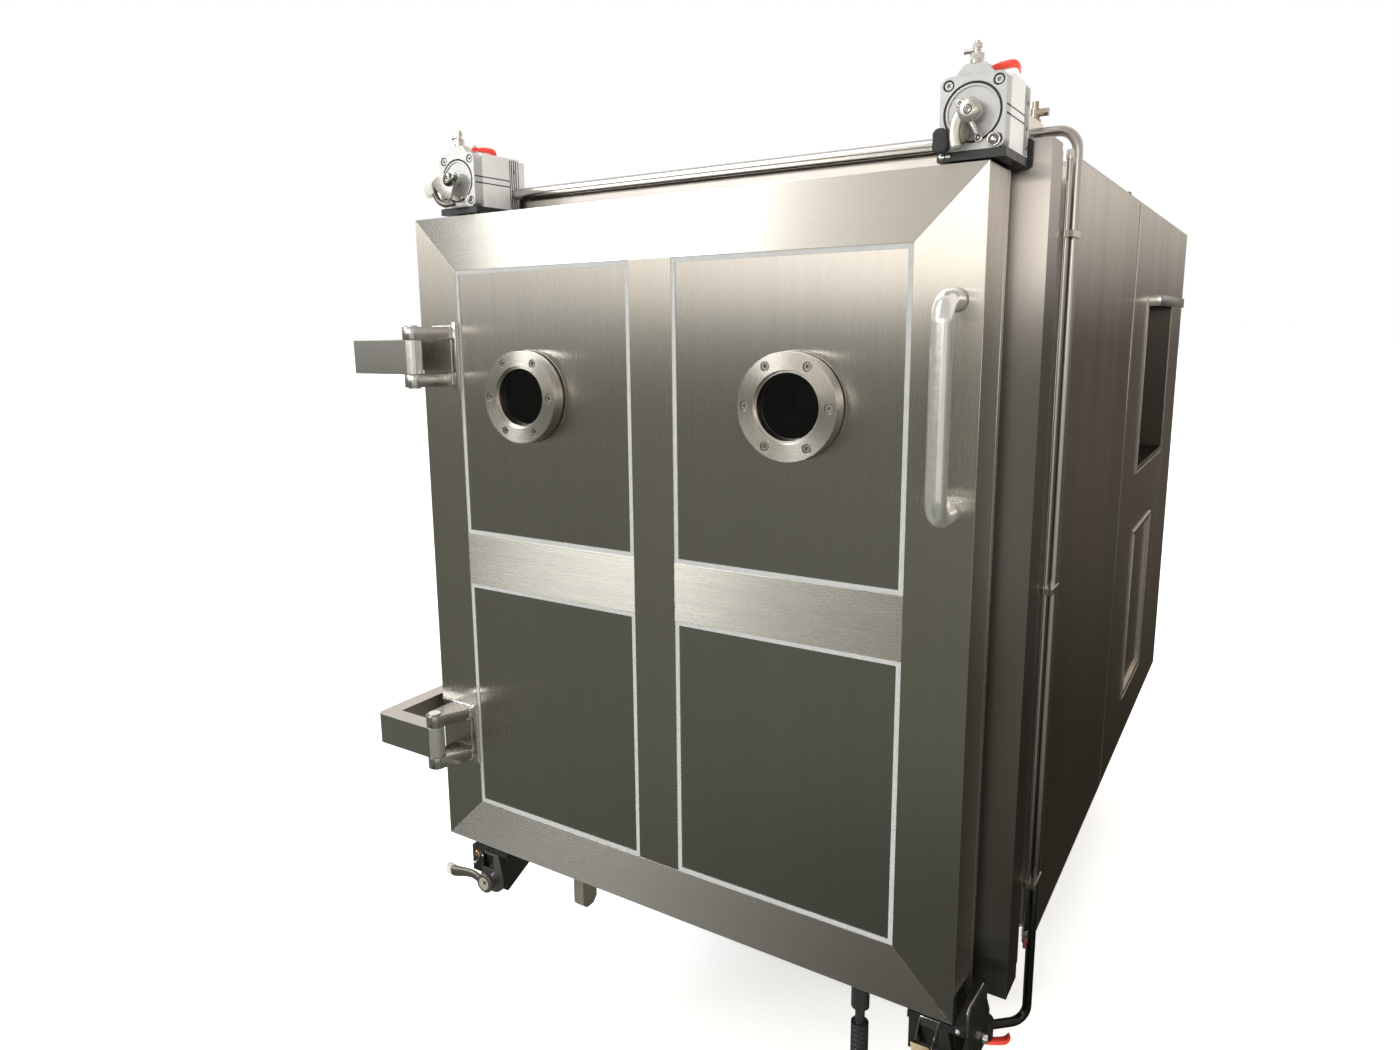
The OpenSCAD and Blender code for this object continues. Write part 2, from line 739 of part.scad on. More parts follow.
riser_ys = [stand_y + tube_w / 2, stand_y + stand_l / 2, stand_y + stand_l - tube_w / 2];
riser_t = 12;

module cladding_belly() color("gray") placed() difference() {
  block(-body_x, body_x, clad_y, body_rear - clad_t, belly_z, belly_z + clad_t);
  for (y = riser_ys)
    block(-stand_w / 2 - seat_fit, stand_w / 2 + seat_fit, y - riser_t / 2 - seat_fit,
      y + riser_t / 2 + seat_fit, belly_z - 1, belly_z + clad_t + 1);
}

// Front ring round the neck, and the rear panel with the vacuum port's hole
module cladding_ends() color("tan") placed() {
  slab(body_front, clad_y) rect_ring([-body_x, body_x, belly_z, roof_z], grown(neck, -clad_t));
  difference() {
    block(-body_x, body_x, body_rear - clad_t, body_rear, belly_z, roof_z);
    bar_y(0, port_z, port_bore_r + port_tube_t + seat_fit, body_rear - clad_t - 1, body_rear + 1);
  }
}

module vessel_insulation() color("khaki") placed() {
  y0 = clad_y + 20;
  skin_x = vessel_x + vessel_t;
  skin_z = vessel_z1 + vessel_t;
  for (side = [-1, 1]) mirror([side < 0 ? 1 : 0, 0, 0])
    block(skin_x, skin_x + insulation_t, y0, vessel_rear, vessel_z0, skin_z);
  block(-skin_x - insulation_t, skin_x + insulation_t, y0, vessel_rear, skin_z, skin_z + insulation_t);
}

module service_recess() color("gray") placed() {
  fit = grown(recess_cut, -seat_fit);
  side_slab(body_x - recess_d, body_x + trim_t) rect_ring(fit, grown(fit, -clad_t));
  side_slab(body_x - recess_d, body_x - recess_d + clad_t) plain_rect(fit);
  side_slab(body_x, body_x + trim_t) rect_ring(grown(fit, trim_w), grown(fit, -clad_t));
  block(body_x, body_x + ledge_w, recess_cut[0] - trim_w, recess_cut[1] + trim_w,
    recess_cut[3] + trim_w - ledge_t, recess_cut[3] + trim_w);
}

module hatch_cover() color("lightgray") placed() {
  fit = grown(hatch_cut, -seat_fit);
  sunk = 6;
  side_slab(body_x - sunk - clad_t, body_x + trim_t) rect_ring(fit, grown(fit, -clad_t));
  side_slab(body_x - sunk - clad_t, body_x - sunk) plain_rect(fit);
  side_slab(body_x, body_x + trim_t) rect_ring(grown(fit, trim_w), grown(fit, -clad_t));
}

// ---- inside the vessel ---------------------------------------------------------------------

shelf_y = frame_y + 58;
shelf_top_room = 100;
shelf_floor_room = 70;
shelf_pitch = (vessel_z1 - vessel_z0 - shelf_top_room) / shelves_n;
post_w = 36;
post_gap = 2;
post_in = 90;
shelf_bar_h = 12;

function shelf_bottom(i) = vessel_z0 + shelf_floor_room + i * shelf_pitch;

module shelves() color("silver") placed() for (i = [0:shelves_n - 1])
  block(-shelf_w / 2, shelf_w / 2, shelf_y, shelf_y + shelf_l, shelf_bottom(i), shelf_bottom(i) + shelf_t);

// Four posts, and a pair of cross bars under each shelf
module shelf_rack() color("silver") placed() {
  x0 = shelf_w / 2 + post_gap;
  for (y = [shelf_y + post_in, shelf_y + shelf_l - post_in - post_w]) {
    for (side = [-1, 1]) mirror([side < 0 ? 1 : 0, 0, 0])
      block(x0, x0 + post_w, y, y + post_w, vessel_z0, shelf_bottom(shelves_n - 1) + shelf_t);
    for (i = [0:shelves_n - 1])
      block(-x0, x0, y, y + post_w, shelf_bottom(i) - shelf_bar_h, shelf_bottom(i));
  }
}

// Supply and return headers behind the shelves, with a stub into each shelf
header_x = 300;
header_r = 12;
header_gap = 8;
header_over = 60;
header_stub_r = 6;

module fluid_headers() color("gainsboro") placed() for (side = [-1, 1]) {
  header_y = shelf_y + shelf_l + header_gap + header_r;
  bar_z(side * header_x, header_y, header_r, vessel_z0, shelf_bottom(shelves_n - 1) + header_over);
  for (i = [0:shelves_n - 1])
    bar_y(side * header_x, shelf_bottom(i) + shelf_t / 2, header_stub_r, shelf_y + shelf_l, header_y);
}

// Ice condenser: banks of straight tubes down both sides, each bank between two square posts
coil_x = 370;
coil_post_w = 30;
coil_post_top = 74;
coil_in = 40;
coil_tube_r = 11;
coil_tubes_n = 8;
coil_first = 90;
coil_y0 = partition_y + vessel_t + coil_in;
coil_y1 = back_wall_y - coil_in;
coil_pitch = (vessel_z1 - vessel_z0 - 2 * coil_first) / (coil_tubes_n - 1);

module condenser_headers() color("gainsboro") placed()
  for (side = [-1, 1], y = [coil_y0, coil_y1 - coil_post_w])
    block(side * coil_x - coil_post_w / 2, side * coil_x + coil_post_w / 2, y, y + coil_post_w,
      vessel_z0, vessel_z1 - coil_post_top);

module condenser_tubes() color("silver") placed() for (side = [-1, 1], i = [0:coil_tubes_n - 1])
  bar_y(side * coil_x, vessel_z0 + coil_first + i * coil_pitch, coil_tube_r, coil_y0 + coil_post_w,
    coil_y1 - coil_post_w);

// ---- clamps --------------------------------------------------------------------------------

// Sets a clamp's axis in place. Lower clamps are upside down, under the door's lower edge.
module at_clamp(x, upper)
  placed() translate([x, 0, upper ? door_h + clamp_z : -clamp_z])
    mirror([0, 0, upper ? 0 : 1]) children();

module clamp_brackets() color("black") {
  for (x = [-clamp_left_x, clamp_right_x], upper = [true, false])
    at_clamp(x, upper) bracket(x > 0 && !upper ? bracket_w : bracket_up_w);
  cheek_x = clamp_right_x + bracket_w / 2;
  // Guard cheek beside the door's corner, on the lower right bracket's edge
  placed() side_slab(cheek_x, cheek_x + guard_t)
    polygon([
      [4, guard_up - door_pass], [14, guard_up - door_pass + 4], [cap_l + barrel_l, guard_up - door_pass - 6],
      [cap_l + barrel_l, low_axis_z + 10], [cap_l + barrel_l - 20, low_axis_z - low_w / 2],
      [4, low_axis_z - low_w / 2]
    ]);
  // Tab that reaches down behind it from the bracket's back plate, just clear of the clamp's rear block
  tab_x = clamp_right_x + clamp_w / 2 - 1;
  placed() slab(frame_y - bracket_up_t, frame_y)
    polygon([
      [tab_x, low_tab_z], [clamp_right_x + bracket_up_w / 2, low_tab_z],
      [clamp_right_x + bracket_up_w / 2, -bracket_up_h - 8], [tab_x, -bracket_up_h / 2]
    ]);
}

// Shelf that carries a clamp, and the plate at its back that is welded to the frame
module bracket(up_w) {
  tray_z = -clamp_h / 2 - bracket_t;
  block(-bracket_w / 2, bracket_w / 2, 0, frame_y, tray_z, -clamp_h / 2);
  slab(frame_y - bracket_up_t, frame_y)
    translate([0, tray_z + bracket_up_h / 2]) round_rect(up_w, bracket_up_h, bracket_round);
}

module clamp_body() {
  rear_y = cap_l + barrel_l;
  screw_x = clamp_w / 2 - 11;
  screw_z = clamp_h / 2 - 11;
  // Front cap with its dish, its boss and four sunk screws
  difference() {
    union() {
      slab(0, cap_l) round_rect(clamp_w, clamp_h, 12);
      slab(3, cap_l - 2)
        polygon([[-26, clamp_h / 2 - 2], [26, clamp_h / 2 - 2], [26, clamp_h / 2],
          [14, clamp_h / 2 + boss_h], [-14, clamp_h / 2 + boss_h], [-26, clamp_h / 2]]);
    }
    bar_y(0, 0, rod_r + run_fit, -1, cap_l + 1);
    difference() {
      bar_y(0, 0, 39, -1, 3);
      bar_y(0, 0, 36, -2, 4);
    }
    bar_y(0, 0, 33, -1, 1.5);
    for (sx = [-1, 1], sz = [-1, 1]) difference() {
      bar_y(sx * screw_x, sz * screw_z, 7.5, -1, 6);
      translate([sx * screw_x, 7, sz * screw_z]) rotate([90, 0, 0]) difference() {
        cylinder(r = 5.5, h = 6);
        translate([0, 0, 3]) cylinder(r = 2.8, h = 5, $fn = 6);
      }
    }
  }
  // Barrel with two slots down each side
  difference() {
    block(-clamp_w / 2, clamp_w / 2, cap_l, rear_y, -clamp_h / 2, clamp_h / 2);
    bar_y(0, 0, cylinder_bore_r, cap_l - 1, rear_y + 1);
    for (sx = [-1, 1], z = [-6, 5])
      block(sx * clamp_w / 2 - 3, sx * clamp_w / 2 + 3, cap_l - 1, rear_y + 1, z, z + 2);
  }
  // Rear cap with cooling grooves, then the valve block that reaches over the frame
  difference() {
    block(-clamp_w / 2, clamp_w / 2, rear_y, rear_y + rear_cap_l, -clamp_h / 2, clamp_h / 2);
    for (y = [rear_y + 4:6:rear_y + rear_cap_l - 5]) difference() {
      block(-clamp_w, clamp_w, y, y + 2, -clamp_h, clamp_h);
      block(3 - clamp_w / 2, clamp_w / 2 - 3, y - 1, y + 3, 3 - clamp_h / 2, clamp_h / 2 - 3);
    }
  }
  block(4 - clamp_w / 2, clamp_w / 2 - 4, rear_y + rear_cap_l, rear_y + rear_cap_l + rear_block_l,
    -rear_block_lift, clamp_h / 2 - 3);
}

module clamp_body_upper_right() color("lightgray") at_clamp(clamp_right_x, true) clamp_body();

module clamp_body_upper_left() color("lightgray") at_clamp(-clamp_left_x, true) clamp_body();

// Places under the lower brackets, measured from the bracket's underside
module at_low(x) placed() translate([x, 0, -door_pass - bracket_t]) children();

// Lower clamp: round-ended front plate, a housing that tapers to the rear and a valve at its side
module low_clamp_body(valve_w) {
  half = low_w / 2;
  rear_y = cap_l + barrel_l + rear_cap_l;
  difference() {
    union() {
      slab(0, low_front_t) union() {
        translate([0, -low_drop]) circle(half);
        polygon([[12 - half, 0], [half - 12, 0], [half, -low_drop], [-half, -low_drop]]);
      }
      side_slab(-low_housing_w / 2, low_housing_w / 2)
        polygon([[low_front_t, 0], [low_front_t, 3 - low_drop - half], [rear_y, -38], [rear_y, 0]]);
    }
    bar_y(0, -low_drop, rod_r + run_fit, -1, low_bore_y);
    bar_y(0, -low_drop, low_bore_r, low_bore_y, low_bore_y + low_bore_l);
    block(-25, 6, -1, low_front_t - 4, -38, -5);
  }
  block(-low_housing_w / 2 - valve_w, -low_housing_w / 2, 6, 44, -58, 0);
}

module clamp_body_lower_left() color("dimgray") at_low(-clamp_left_x) low_clamp_body(32);

module clamp_body_lower_right() color("dimgray") at_low(clamp_right_x) {
  rear_y = cap_l + barrel_l + rear_cap_l;
  low_clamp_body(16);
  block(-28, clamp_w / 2 - 2, rear_y, rear_block_y, -96, -31);
}

// Rod with its piston, pulled in by the share of the stroke that goes with its arm's swing
module clamp_rod(swing, body_r, y0, y1) translate([0, clamp_stroke * swing / full_swing, 0]) {
  bar_y(0, 0, rod_r, hub_y1 - nose_l, y1);
  bar_y(0, 0, body_r - run_fit, y0, y1);
}

module upper_rod(swing) clamp_rod(swing, cylinder_bore_r, piston_y, piston_y + piston_l);

module low_rod() translate([0, 0, -low_drop])
  clamp_rod(0, low_bore_r, low_bore_y + 2, low_bore_y + 2 + low_piston_l);

module clamp_rod_upper_right() color("silver") at_clamp(clamp_right_x, true) upper_rod(rest_swing_ur);

module clamp_rod_upper_left() color("silver") at_clamp(-clamp_left_x, true) upper_rod(rest_swing_ul);

module clamp_rod_lower_left() color("silver") at_low(-clamp_left_x) low_rod();

module clamp_rod_lower_right() color("silver") at_low(clamp_right_x) low_rod();

// Round-ended outline of a pad of the given length, turned about its middle on the arm
module pad_outline(arm_l, pad_l, turn) translate([arm_l, 0]) rotate(turn) {
  half = (pad_l - pad_w) / 2;
  if (half > 0) square([2 * half, pad_w], center = true);
  for (s = [-1, 1]) translate([s * half, 0]) circle(pad_w / 2);
}

// Arm on the rod's nose with its rubber pad. It points along -X, or +X if to_right, and has
// swung down by the given angle. A pad longer than its width stands upright at that angle.
module clamp_arm(length, swing, to_right, head_r, pad_l) {
  pad_y1 = -clamp_stroke - pad_gap;
  arm_half = 7;
  translate([0, clamp_stroke * swing / full_swing, 0])
    mirror([to_right ? 0 : 1, 0, 0]) rotate([0, swing, 0]) {
      difference() {
        union() {
          bar_y(0, 0, head_r, hub_y1 - hub_l, hub_y1);
          slab(arm_y0, arm_y1) rect(head_r - 6, length + 5, -arm_half, arm_half);
        }
        bar_y(0, 0, rod_r + run_fit, hub_y1 - nose_l, hub_y1 + 1);
        translate([0, hub_y1 - hub_l + 4, 0]) rotate([90, 0, 0]) cylinder(r = 5, h = 6, $fn = 6);
      }
      difference() {
        slab(pad_y0, pad_y1) pad_outline(length, pad_l, 90 + swing);
        slab(arm_y0, arm_y1) rect(0, length + 5, -arm_half, arm_half);
      }
    }
}

module upper_arm(swing, pad_l) clamp_arm(upper_arm_l, swing, false, hub_r, pad_l);

module low_arm(to_right)
  translate([0, 0, -low_drop]) clamp_arm(lower_arm_l, 0, to_right, low_hub_r, pad_w);

module clamp_arm_upper_right() color("darkgray")
  at_clamp(clamp_right_x, true) upper_arm(rest_swing_ur, pad_h);

module clamp_arm_upper_left() color("darkgray")
  at_clamp(-clamp_left_x, true) upper_arm(rest_swing_ul, pad_w);

module clamp_arm_lower_left() color("darkgray") at_low(-clamp_left_x) low_arm(false);

module clamp_arm_lower_right() color("darkgray") at_low(clamp_right_x) low_arm(true);

// Flat lever on its stem, from the pivot out along +X, with a turned-down tip
module valve_lever() {
  half = lever_w / 2;
  tip = lever_l - half;
  bar_z(0, 0, stem_r, lever_z - stem_h, lever_z + lever_t);
  bar_z(0, 0, half, lever_z, lever_z + lever_t);
  block(0, tip, -half, half, lever_z, lever_z + lever_t);
  bar_z(tip, 0, half, lever_z - tip_h, lever_z + lever_t);
}

// Seats of the valves: on the upper clamps' barrels, and under the side pipe's lower end
module at_upper_valve(x) at_clamp(x, true) translate([valve_x, valve_y, clamp_h / 2]) children();

module at_low_valve()
  placed() translate([low_valve_x, low_valve_y, pipe_low_z - low_valve_half])
    mirror([0, 0, 1]) children();

module valve_lever_upper_right() color("red") at_upper_valve(clamp_right_x) valve_lever();

module valve_lever_upper_left() color("red")
  at_upper_valve(-clamp_left_x) rotate([0, 0, 90]) valve_lever();

module valve_lever_lower_right() color("red")
  at_low_valve() rotate([0, 0, low_lever_turn]) valve_lever();

// ---- pipes and fittings --------------------------------------------------------------------

// One half of the side pipe, from the joint in its middle clip: the upright, a quarter bend and a
// run at height z, which ends at the given distance from the upright and is turned from -X to -Y
module side_run(z, bend_z, bend_a, turn, run)
  translate([pipe_x, pipe_y, 0]) rotate([0, 0, 180 + turn]) {
    bar_z(0, 0, air_pipe_r, min(bend_z, joint_z), max(bend_z, joint_z));
    bend_xz(pipe_bend_r, 0, bend_z, pipe_bend_r, air_pipe_r, bend_a);
    bar_x(0, z, air_pipe_r, pipe_bend_r, run);
  }

// Link between the upper clamps' rear caps, the side pipe and the thin conduit beside it
module air_pipes() color("gainsboro") placed() {
  bar_x(link_pipe_y, link_pipe_z, link_pipe_r, clamp_w / 2 - clamp_left_x, clamp_right_x - clamp_w / 2);
  side_run(pipe_top_z, pipe_top_z - pipe_bend_r, 90, 0, pipe_x - manifold_x + socket_l);
  side_run(pipe_low_z, pipe_low_z + pipe_bend_r, 180, low_turn, low_run - low_socket);
  bar_z(conduit_x, conduit_y, conduit_r, conduit_z0, conduit_z1);
}

// Stack of round or hexagonal steps, the lowest first
module stack(steps, i = 0) if (i < len(steps)) {
  cylinder(r = steps[i][0], h = steps[i][1], $fn = steps[i][2]);
  translate([0, 0, steps[i][1]]) stack(steps, i + 1);
}

// Air fittings: a breather on each upper clamp, valve bodies, the pipes' ends and clips
module pipe_fittings() color("silver") {
  for (x = [-clamp_left_x, clamp_right_x]) {
    at_clamp(x, true) translate([0, cap_l / 2, clamp_h / 2 + boss_h]) {
      stack(BREATHER);
      bar_x(0, breather_stub_z, breather_stub_r, -breather_stub_z, 0);
    }
    at_upper_valve(x) valve_body();
  }
  at_low_valve() valve_body();
  placed() {
    upper_manifold();
    lower_valve();
    for (z = clip_zs) pipe_clip(z);
    conduit_end(conduit_z0, 0);
    conduit_end(conduit_z1, 180);
  }
}

module valve_body() difference() {
  block(-12, 10, -9, 9, 0, valve_h);
  bar_z(0, 0, stem_r + run_fit, lever_z - stem_h - 1, valve_h + 1);
}

// Bar from the upper right clamp's rear block back to the side pipe, with a throttle on it
module upper_manifold() {
  difference() {
    block(manifold_x - manifold_w, manifold_x, rear_block_y, pipe_y + manifold_half,
      pipe_top_z - manifold_half, pipe_top_z + manifold_half);
    bar_x(pipe_y, pipe_top_z, air_pipe_r + seat_fit, manifold_x - socket_l, manifold_x + 1);
  }
  translate([manifold_x - 10, pipe_y - 2, pipe_top_z + manifold_half]) {
    stack(THROTTLE);
    bar_x(0, knob_z, knob_r, 0, knob_l);
  }
}

// Round valve body on an arm from the lower right clamp's rear block
module lower_valve() difference() {
  union() {
    bar_z(low_valve_x, low_valve_y, low_valve_r, pipe_low_z - low_valve_half, pipe_low_z + low_valve_half);
    block(low_valve_x - low_arm_w / 2, low_valve_x + low_arm_w / 2, rear_block_y, low_valve_y,
      pipe_low_z - low_arm_h / 2, pipe_low_z + low_arm_h / 2);
    block(low_valve_x - low_arm_w / 2, low_valve_x + low_arm_w / 2, rear_block_y, rear_block_y + low_arm_w,
      pipe_low_z, low_arm_top);
  }
  translate([low_valve_x, low_valve_y, 0]) rotate([0, 0, low_turn])
    bar_x(0, pipe_low_z, air_pipe_r + seat_fit, low_socket, low_run);
}

// Clip that ties the conduit to the side pipe
module pipe_clip(z) difference() {
  block(conduit_x - conduit_r - clip_wall, pipe_x + air_pipe_r + clip_wall, conduit_y - conduit_r - 4,
    pipe_y + air_pipe_r + 4, z - clip_h / 2, z + clip_h / 2);
  bar_z(pipe_x, pipe_y, air_pipe_r + seat_fit, z - clip_h, z + clip_h);
  bar_z(conduit_x, conduit_y, conduit_r + seat_fit, z - clip_h, z + clip_h);
}

// Stepped fitting on the conduit's end, turned over for the upper one
module conduit_end(z, turn) translate([conduit_x, conduit_y, z]) rotate([turn, 0, 0])
  translate([0, 0, -14]) stack(CONDUIT_END);

// Drain: pipe from the vessel's floor, union nut and a ribbed hose tail
module drain_valve() color("dimgray") placed() translate([drain_x, drain_y, 0]) {
  difference() {
    bar_z(0, 0, drain_r, drain_end_z, vessel_z0 - vessel_t);
    bar_z(0, 0, drain_bore_r, drain_end_z - 1, vessel_z0);
  }
  difference() {
    union() {
      bar_z(0, 0, drain_nut_r, drain_nut_z0, drain_nut_z1);
      bar_z(0, 0, drain_tail_r, drain_end_z, drain_tail_z1);
      for (z = [drain_end_z + 6:drain_rib_pitch:drain_tail_z1 - 6]) bar_z(0, 0, drain_rib_r, z, z + 6);
    }
    bar_z(0, 0, drain_r, drain_end_z - 1, 0);
  }
}

// Lifting lug under the front frame
module bottom_lug() color("wheat") placed() side_slab(-lug_x - lug_w, -lug_x)
  polygon([
    [frame_y + 10, frame_z0], [frame_y + 58, frame_z0], [frame_y + 58, lug_end_z + 12],
    [frame_y + 46, lug_end_z], [frame_y + 22, lug_end_z], [frame_y + 10, lug_end_z + 12]
  ]);

// ---- stand ---------------------------------------------------------------------------------

rail_z1 = belly_z - 3;
rail_z0 = rail_z1 - tube_w;
leg_z0 = foot_h - door_lift;
low_rail_z = leg_z0 + 90;
stand_x = stand_w / 2;
stand_rear = stand_y + stand_l;

// Square tube with its axis along X, Y or Z
module tube_x(x0, x1, y, z) difference() {
  block(x0, x1, y, y + tube_w, z, z + tube_w);
  block(x0 - 1, x1 + 1, y + tube_wall, y + tube_w - tube_wall, z + tube_wall, z + tube_w - tube_wall);
}

module tube_y(x, y0, y1, z) difference() {
  block(x, x + tube_w, y0, y1, z, z + tube_w);
  block(x + tube_wall, x + tube_w - tube_wall, y0 - 1, y1 + 1, z + tube_wall, z + tube_w - tube_wall);
}

module tube_z(x, y, z0, z1) difference() {
  block(x, x + tube_w, y, y + tube_w, z0, z1);
  block(x + tube_wall, x + tube_w - tube_wall, y + tube_wall, y + tube_w - tube_wall, z0 + 6, z1 + 1);
}

module stand_frame() color("gray") placed() {
  for (x = [-stand_x, stand_x - tube_w]) {
    tube_y(x, stand_y, stand_rear, rail_z0);
    tube_y(x, stand_y + tube_w, stand_rear - tube_w, low_rail_z);
    for (y = [stand_y, stand_rear - tube_w]) tube_z(x, y, leg_z0, rail_z0);
  }
  for (y = [stand_y, stand_rear - tube_w]) {
    tube_x(tube_w - stand_x, stand_x - tube_w, y, rail_z0);
    tube_x(tube_w - stand_x, stand_x - tube_w, y, low_rail_z);
  }
  for (y = riser_ys)
    block(-stand_x, stand_x, y - riser_t / 2, y + riser_t / 2, rail_z1, vessel_z0 - vessel_t);
}

module levelling_feet() color("dimgray") placed()
  for (x = [-stand_x, stand_x - tube_w], y = [stand_y, stand_rear - tube_w])
    translate([x + tube_w / 2, y + tube_w / 2, -door_lift]) {
      cylinder(r = 42, h = 14);
      translate([0, 0, 14]) cylinder(r = 12, h = foot_h - 26);
      translate([0, 0, foot_h - 12]) cylinder(r = 20, h = 12, $fn = 6);
    }

// ---- drawing -------------------------------------------------------------------------------

door_top_member();
door_bottom_member();
door_left_member();
door_right_member();
door_bars();
door_panels();
panel_sealant();
door_inner_plate();
door_insulation();
door_gasket();
sight_necks();
sight_rings();
sight_glasses();
sight_screws();
door_handle();
hinge_leaves();
hinge_pins();
stand_frame();
levelling_feet();
vessel_sides();
vessel_decks();
vessel_partition();
vessel_back_wall();
front_frame();
neck_shroud();
cladding_left();
cladding_right();
cladding_roof();
cladding_belly();
cladding_ends();
vessel_insulation();
shelves();
shelf_rack();
fluid_headers();
condenser_headers();
condenser_tubes();
service_recess();
hatch_cover();
hinge_arms();
clamp_brackets();
clamp_body_upper_right();
clamp_body_upper_left();
clamp_body_lower_left();
clamp_body_lower_right();
clamp_rod_upper_right();
clamp_rod_upper_left();
clamp_rod_lower_left();
clamp_rod_lower_right();
clamp_arm_upper_right();
clamp_arm_upper_left();
clamp_arm_lower_left();
clamp_arm_lower_right();
valve_lever_upper_right();
valve_lever_upper_left();
valve_lever_lower_right();
air_pipes();
pipe_fittings();
drain_valve();
bottom_lug();
vacuum_port();
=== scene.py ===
"""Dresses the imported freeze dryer: brushed steel, welds, clamp arms, fittings, light and camera."""

import math
import random

import bmesh
import bpy
from mathutils import Matrix, Vector


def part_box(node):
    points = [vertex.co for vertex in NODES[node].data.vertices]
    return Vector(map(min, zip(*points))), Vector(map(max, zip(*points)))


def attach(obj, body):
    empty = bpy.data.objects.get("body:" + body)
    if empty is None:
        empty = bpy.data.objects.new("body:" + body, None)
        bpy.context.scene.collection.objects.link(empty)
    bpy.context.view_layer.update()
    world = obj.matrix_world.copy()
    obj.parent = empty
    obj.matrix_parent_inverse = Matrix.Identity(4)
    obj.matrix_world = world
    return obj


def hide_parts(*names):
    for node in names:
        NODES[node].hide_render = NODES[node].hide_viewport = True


MM = 0.001
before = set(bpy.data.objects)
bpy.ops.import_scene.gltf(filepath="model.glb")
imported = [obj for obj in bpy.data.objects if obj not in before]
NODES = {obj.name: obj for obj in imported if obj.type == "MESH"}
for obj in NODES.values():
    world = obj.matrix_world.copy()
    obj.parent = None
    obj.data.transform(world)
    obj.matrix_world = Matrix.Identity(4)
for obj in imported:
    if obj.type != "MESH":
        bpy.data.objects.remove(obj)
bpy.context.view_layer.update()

# ---- places --------------------------------------------------------------------------------

MACHINE, DOOR = "machine", "door"
UPPER = ("upper_right", "upper_left")
CLAMPS = (*UPPER, "lower_left", "lower_right")
FRONT, UP = (0, -1, 0), (0, 0, 1)

door_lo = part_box("door_left_member")[0]
door_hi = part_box("door_right_member")[1]
DOOR_X = (door_lo.x + door_hi.x) / 2
DOOR_Y = door_lo.y
DOOR_Z = door_lo.z
rings_lo, rings_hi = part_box("sight_rings")
RING_R = (rings_hi.z - rings_lo.z) / 2
SIGHT_REACH = (rings_hi.x - rings_lo.x) / 2 - RING_R
SIGHT_Z = (rings_lo.z + rings_hi.z) / 2
BAR_HALF = 42.5 * MM


def at(x, y, z):
    """A point given in millimetres from the middle of the door's lower front edge."""
    return Vector((DOOR_X + x * MM, DOOR_Y + y * MM, DOOR_Z + z * MM))


def in_mm(point):
    """The reverse of at: a point's millimetres from the middle of the door's lower front edge."""
    return tuple((value - zero) / MM for value, zero in zip(point, (DOOR_X, DOOR_Y, DOOR_Z)))


def span(name):
    """The lowest and the highest corner of a CAD node in the same millimetres."""
    return [in_mm(corner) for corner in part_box(name)]


# ---- materials -----------------------------------------------------------------------------


class Nodes:
    """A node tree under construction: helpers add nodes and return their output sockets."""

    def node(self, kind, inputs=None, **settings):
        """Adds a node: its settings first, then its inputs, each a socket to link or a plain value."""
        made = self.tree.nodes.new(kind)
        for key, value in settings.items():
            setattr(made, key, value)
        for key, value in (inputs or {}).items():
            self.link(value, made.inputs[key])
        return made

    def link(self, source, target):
        """Links a socket to the target, or sets the target to a plain value."""
        if hasattr(source, "links"):
            self.tree.links.new(source, target)
        else:
            target.default_value = source

    def math(self, kind, a, b=0.0, c=0.0):
        made = self.node("ShaderNodeMath", operation=kind)
        for value, target in zip((a, b, c), made.inputs):
            self.link(value, target)
        return made.outputs["Value"]

    def remap(self, value, low, high, to_low=0.0, to_high=1.0, smooth=False):
        inputs = {"Value": value, "From Min": low, "From Max": high, "To Min": to_low, "To Max": to_high}
        kind = "SMOOTHSTEP" if smooth else "LINEAR"
        return self.node("ShaderNodeMapRange", inputs, interpolation_type=kind).outputs["Result"]


